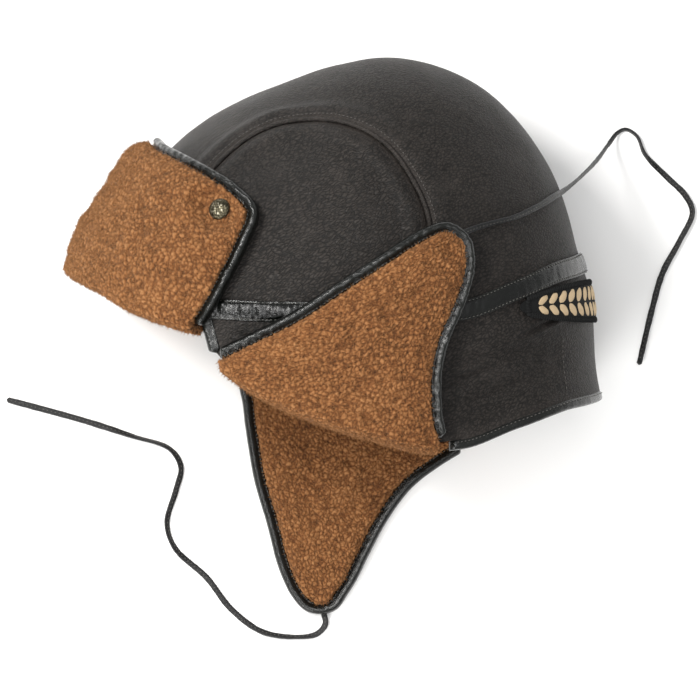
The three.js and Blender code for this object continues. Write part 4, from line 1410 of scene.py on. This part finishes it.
# A rolled leather edge along a run, between two heights over the leather: a round bead at its
# outside and a flat stitched strip towards the wool, on the side of it that is seen
def makeBinding(name, node, frameOf, run, low, high, outSide, seen=1):
    half = binding["half"]
    strip = binding["strip"]

    def place(u, v, w):
        across, up = roundBar(v)
        here = run.at(u)
        point, normal = frameOf(here)
        sideways = outSide * unit(np.cross(normal, run.heading(u)))
        bead = np.sqrt(np.clip(1 - ((across - 0.32) / 0.68) ** 2, 0, 1))
        up = np.where(up * seen > 0, up * (strip + (1 - strip) * bead), up)
        crimp = softNoise(np.stack([u * run.length, across * 2, up * 2], 1), 1.35, 81)
        slack = softNoise(here, 9, 82)
        swell = 1 + (binding["wrinkle"] * crimp + 0.1 * slack) * (0.4 + 0.6 * (up > -0.5))
        end = ending(u, run.length / 2, 0.05)
        height = low + (high - low) * (0.5 + 0.5 * up * swell * end)
        placed = raisedOnFloor((point, normal), height)
        outward = (across * half * (0.94 + 0.06 * swell) + binding["outward"]) * end
        placed = placed + sideways * outward[:, None]
        # The edge mark on the bead's seen top is partly wear, partly painted highlight
        return placed, {"edge": np.clip(up * seen, 0, 1) ** 6 * 0.8}

    bm = placedGrid((int(run.length / binding["pitch"]), binding["around"]), place, wall="tube")
    finished(bm, name, "trim_hide", [node] if node else ())
    share = np.arange(4, run.length - 4, binding["stitchPitch"]) / run.length
    point, normal = frameOf(run.at(share))
    heading = run.heading(share)
    sideways = outSide * unit(np.cross(normal, heading))
    seat = (low + high) / 2 + seen * (high - low) / 2 * strip
    seat = raisedOnFloor((point, normal), np.full(len(share), seat))
    outward = binding["stitchPlace"] * half + binding["outward"]
    placed = (seat + sideways * outward, normal * seen)
    addStitches(f"{name}_stitches", placed, heading, 1.3, 0.5, 0.2)


# A flap's leather, its wool and the binding round its rim
def makeFlap(name, flap, fleece, frameOf, rim, low, high, outSide, seen=1):
    plan = flaps[name]
    sewLeather(placedGrid(plan["leather"], flap), f"{name}_leather", plan["node"])
    bm = placedGrid(plan["fleece"], fleece, wall="skirt", relief=curls(*plan["curls"]))
    gatherWisps(bm)
    piece = finished(bm, f"{name}_fleece", "caramel_fleece", [f"{name}_wool"])
    makeBinding(f"{name}_piping", f"{name}_binding", frameOf, rim, low, high, outSide, seen)


def makeLeftFlap():
    front, back, rim = flapEdges(leftFlapFront, leftFlapBack, 1, 0, *flapReach)
    cover = flapPatch(front, back, 0)

    def frameAt(u, v, down):
        spot = cover(u, v)
        return leatherFrame(sideOffset(spot[:, 0], spot[:, 1] - down, 1))

    def flap(u, v, w):
        return raised(frameAt(u, v, 0), shell["flapLift"] + w * leather)

    def thickness(u, v, point):
        return woolThickness(shell["flapWool"], u, v, point)

    makeFlap("left_flap", flap, foldedWool(frameAt, thickness), leatherFrame, rim,
             shell["flapLift"], flapTop + shell["edgeWool"], 1)


def spreadFrame(offset):
    point, normal = leatherFrame(offset)
    below = lowerHeight(turnOf(offset)) - (offset[..., 1] + ear[1])
    loose = fade(below, 0, shell["neckDrop"] * 0.35)
    point[..., 2] *= loose
    turned = np.stack([normal[..., 0] * loose, normal[..., 1] * loose, normal[..., 2]], axis=-1)
    return point, unit(turned)


def makeRightFlap():
    belowNeck = -shell["edgeGap"]
    front, back, rim = flapEdges(rightFlapFront, rightFlapBack, -1, belowNeck, *flapReach)
    cover = flapPatch(front, back, belowNeck)

    def frameAt(u, v):
        spot = cover(u, v)
        return spreadFrame(sideOffset(spot[:, 0], spot[:, 1], -1))

    def flap(u, v, w):
        return raised(frameAt(u, v), -w * leather)

    def fleece(u, v, w):
        placed = frameAt(u, v)
        full = woolThickness(shell["flapWool"], u, v, placed[0])
        thin = shell["liningWool"]
        thickness = thin + (full - thin) * np.minimum(1, v * 4)
        return raised(placed, -leather - layerGap - w * thickness)

    low = -leather - layerGap - shell["edgeWool"]
    makeFlap("right_flap", flap, fleece, spreadFrame, rim, low, 0, 1, -1)


def makeBrowFlap():
    leftRun, rightRun = sideRun(browEnd, 1), sideRun(browEnd, -1)
    toMiddle = np.array([math.cos(browTopAngle * degree), math.sin(browTopAngle * degree), 0.0])
    back, up = np.array(browTop, float).T * reach
    leftHalf = sideOffset(back, up, 1)
    rightHalf = sideOffset(back, up, -1)[::-1]
    top = Run(np.vstack([leftHalf, bodyMeets(centre, toMiddle)[None], rightHalf]))
    fold = foldLine(startTurn(leftRun.at, 0.0), 360 + startTurn(rightRun.at, 0.0), 0)
    foldEnds = fold(np.array([0.0, 1.0]))

    def sideEdge(run, start):
        def edge(t):
            share = np.maximum(0, 1 - t * 4)[:, None]
            return run.at(t) * (1 - share) + start * share
        return edge

    outline = edgePatch(fold, top.at, sideEdge(leftRun, foldEnds[0]),
                        sideEdge(rightRun, foldEnds[1]))
    inset = flapReach[0] / top.length, flapReach[0] / leftRun.length

    def frameAt(u, v, down):
        spot = outline(inset[0] + u * (1 - 2 * inset[0]), v * (1 - inset[1]))
        offset = bodyMeets(centre, spot)
        lowered = ringOffset(offset[:, 1] + ear[1] - down, turnOf(offset))
        return leatherFrame(np.where((np.asarray(down) > 0)[..., None], lowered, offset))

    def flap(u, v, w):
        return raised(frameAt(u, v, np.zeros_like(u)), shell["flapLift"] + w * leather)

    def thickness(u, v, point):
        snapAt = ear + snapOffset(1)
        away = np.hypot(point[:, 0] - snapAt[0], point[:, 1] - snapAt[1])
        seat = fade(away, shell["snapRadius"] * 1.2, shell["snapRadius"] * 2.6)
        full = woolThickness(shell["browWool"], u, v, point)
        return full + (shell["edgeWool"] - full) * seat

    inU = shell["bindingWidth"] * 0.58 / top.length
    inV = shell["bindingWidth"] * 0.58 / leftRun.length
    climb = np.arange(4) / 4 * (1 - inV)
    corners = [(inU, v) for v in climb]
    corners += [(u, 1 - inV) for u in np.linspace(inU, 1 - inU, 15)]
    corners += [(1 - inU, v) for v in climb[::-1]]
    rim = Run(outline(*np.array(corners).T))
    makeFlap("brow_flap", flap, foldedWool(frameAt, thickness),
             lambda offset: leatherFrame(bodyMeets(centre, offset)), rim,
             shell["flapLift"], flapTop + shell["edgeWool"], -1)


# Snap caps

snapGrid = (48, 32)


def makeSnap(side, name):
    radius, height = shell["snapRadius"], shell["snapHeight"]
    bm = bmesh.new()
    turns, rings = snapGrid
    bmesh.ops.create_uvsphere(bm, u_segments=turns, v_segments=rings, radius=radius)
    marks = bm.verts.layers.float.new("height")
    points = placesOf(bm.verts)
    nearest, second, tone = cellNoise(points + side * 20, 1.35, 91)
    hammered = 0.28 * smoothStep(second - nearest, 0, 0.4) + 0.12 * (tone - 0.5)
    for vertex, dent in zip(bm.verts, hammered):
        lift = vertex.co.z / radius
        rim = math.hypot(vertex.co.x, vertex.co.y) / radius
        vertex.co.z = lift * height if lift > 0 else lift * 0.3
        vertex.co += Vector((0, 0, 1)) * (dent * (1 - rim ** 6)) * (lift > 0)
        vertex[marks] = max(0.0, dent * 2.4)
    offset = snapOffset(side)[None]
    placed = leatherFrame(offset)
    if side > 0:
        point = raised(placed, flapTop + shell["edgeWool"] + layerGap)[0]
        facing = Vector(placed[1][0])
    else:
        point = placed[0][0]
        point[2] = height + 0.35
        facing = Vector((0, 0, -1))
    turn = facing.to_track_quat("Z", "Y").to_matrix().to_4x4()
    bmesh.ops.transform(bm, matrix=Matrix.Translation(point) @ turn, verts=bm.verts)
    finished(bm, f"{name}_snap_dome", "aged_bronze", [f"{name}_snap_cap"])


# Patch at the nape: cloth with a corded edge and two rows of slanted bars

patch = {
    "length": 150, "height": 20, "thick": 1.3, "drop": 19, "droop": 3.5, "grid": (150, 24),
    "edgeCord": 1.35, "edgePitch": 1.5, "edgePlace": 0.93, "edgeGrid": (1100, 10),
    "chevrons": 19, "strandPitch": 0.7, "barGrid": (14, 5), "lean": 0.045, "half": 0.037,
    "crest": 0.45, "strands": 11,
}


def patchFrame(along, across):
    turnReach = patch["length"] / 2 / (reach * 0.95) / degree
    tall = patch["height"] * np.maximum(0.1, np.sqrt(1 - np.abs(along) ** 2.2))
    height = bandHeight(0) - patch["drop"] - patch["droop"] * along ** 2 + across * tall / 2
    return leatherFrame(ringOffset(height, along * turnReach))


def makePatch():
    def place(u, v, w):
        along, across = 2 * u - 1, 2 * v - 1
        weave = 0.06 * np.sin(u * 700)
        point = raised(patchFrame(along, across), layerGap + w * (patch["thick"] - 0.35) + weave * w)
        return point, {"strand": u * patch["length"] / patch["strandPitch"]}

    bm = placedGrid(patch["grid"], place)
    finished(bm, "patch_cloth", "black_embroidery", ["nape_patch"], sharpEdge)
    end = patch["edgePlace"]
    outline = [(t, end) for t in np.linspace(-end, end, 60)]
    outline += [(t, -end) for t in np.linspace(end, -end, 60)]
    outline = np.array(outline + [outline[0]])
    point, normal = patchFrame(outline[:, 0], outline[:, 1])
    run = Run(point + normal * (layerGap + 0.75))
    facing = Run(normal * 10)

    def edge(u, v, w):
        here, heading = run.at(u), run.heading(u)
        up = unit(facing.at(u))
        side = unit(np.cross(up, heading))
        up = np.cross(heading, side)
        around = v * 2 * math.pi
        strands = np.sin(u * run.length / patch["edgePitch"] * 2 * math.pi + around)
        radius = patch["edgeCord"] * (1 + 0.17 * strands)
        placed = here + side * (radius * np.cos(around))[:, None]
        placed = placed + up * (0.62 * radius * np.sin(around))[:, None]
        return placed, {"strand": u * run.length / patch["edgePitch"] + v}

    bm = placedGrid(patch["edgeGrid"], edge, wall="tube", wrap=True)
    finished(bm, "patch_edge", "black_embroidery")
    makeChevrons()


# Slanted satin bars in two rows that meet on the middle line
def makeChevrons():
    bm = bmesh.new()
    strand = bm.verts.layers.float.new("strand")
    columns, rows = patch["barGrid"]
    for middle in np.linspace(-0.84, 0.84, patch["chevrons"]):
        for sign in (1, -1):
            bar = bmesh.ops.create_grid(bm, x_segments=columns, y_segments=rows, size=0.5)["verts"]
            spots = placesOf(bar)
            along = spots[:, 0] + 0.5
            lean = patch["lean"] * (1 if middle < 0 else -1) * along
            half = patch["half"] * np.sin(math.pi * np.clip(along, 0.05, 0.95)) ** 0.4
            x = middle + lean + spots[:, 1] * 2 * half
            y = sign * (0.04 + 0.7 * along)
            bulge = np.cos(spots[:, 1] * math.pi) ** 0.7 * np.sin(math.pi * along) ** 0.3
            rise = layerGap + patch["thick"] - 0.4 + patch["crest"] * np.nan_to_num(bulge)
            placed = raised(patchFrame(x, y), rise)
            setVerts(bar, placed, [(strand, along * patch["strands"])])
    finished(bm, "patch_chevrons", "cream_embroidery")


# The neck's front edges, bound from the band down to the ear flap

frontEdge = {"turns": (129.4, 126.6), "steps": 9, "low": -2.6, "high": 1.9}


def makeFrontEdges():
    turn = np.linspace(*frontEdge["turns"], frontEdge["steps"])
    height = np.linspace(bandHeight(turn[0]) - 4, lowerHeight(turn[-1]) + 1, len(turn))
    for side, name in ((1, "left"), (-1, "right")):
        run = Run(ringOffset(height, turn * side))
        makeBinding(f"neck_{name}_front_piping", None, leatherFrame, run, frontEdge["low"],
                    frontEdge["high"], -side)


makeCamera()
makeMaterials()
makeStudio()
makeLace("left")
makeLace("right")
print("ties laid")
makeCrown()
makeBand()
makeNeck()
makeHem()
print("leather sewn")
makeLining()
makeLeftFlap()
makeRightFlap()
makeBrowFlap()
makeWisps()
print("fleece and flaps made")
makeFrontEdges()
makeSnap(1, "left")
makeSnap(-1, "right")
makePatch()
makeStitches()
print("trims made")
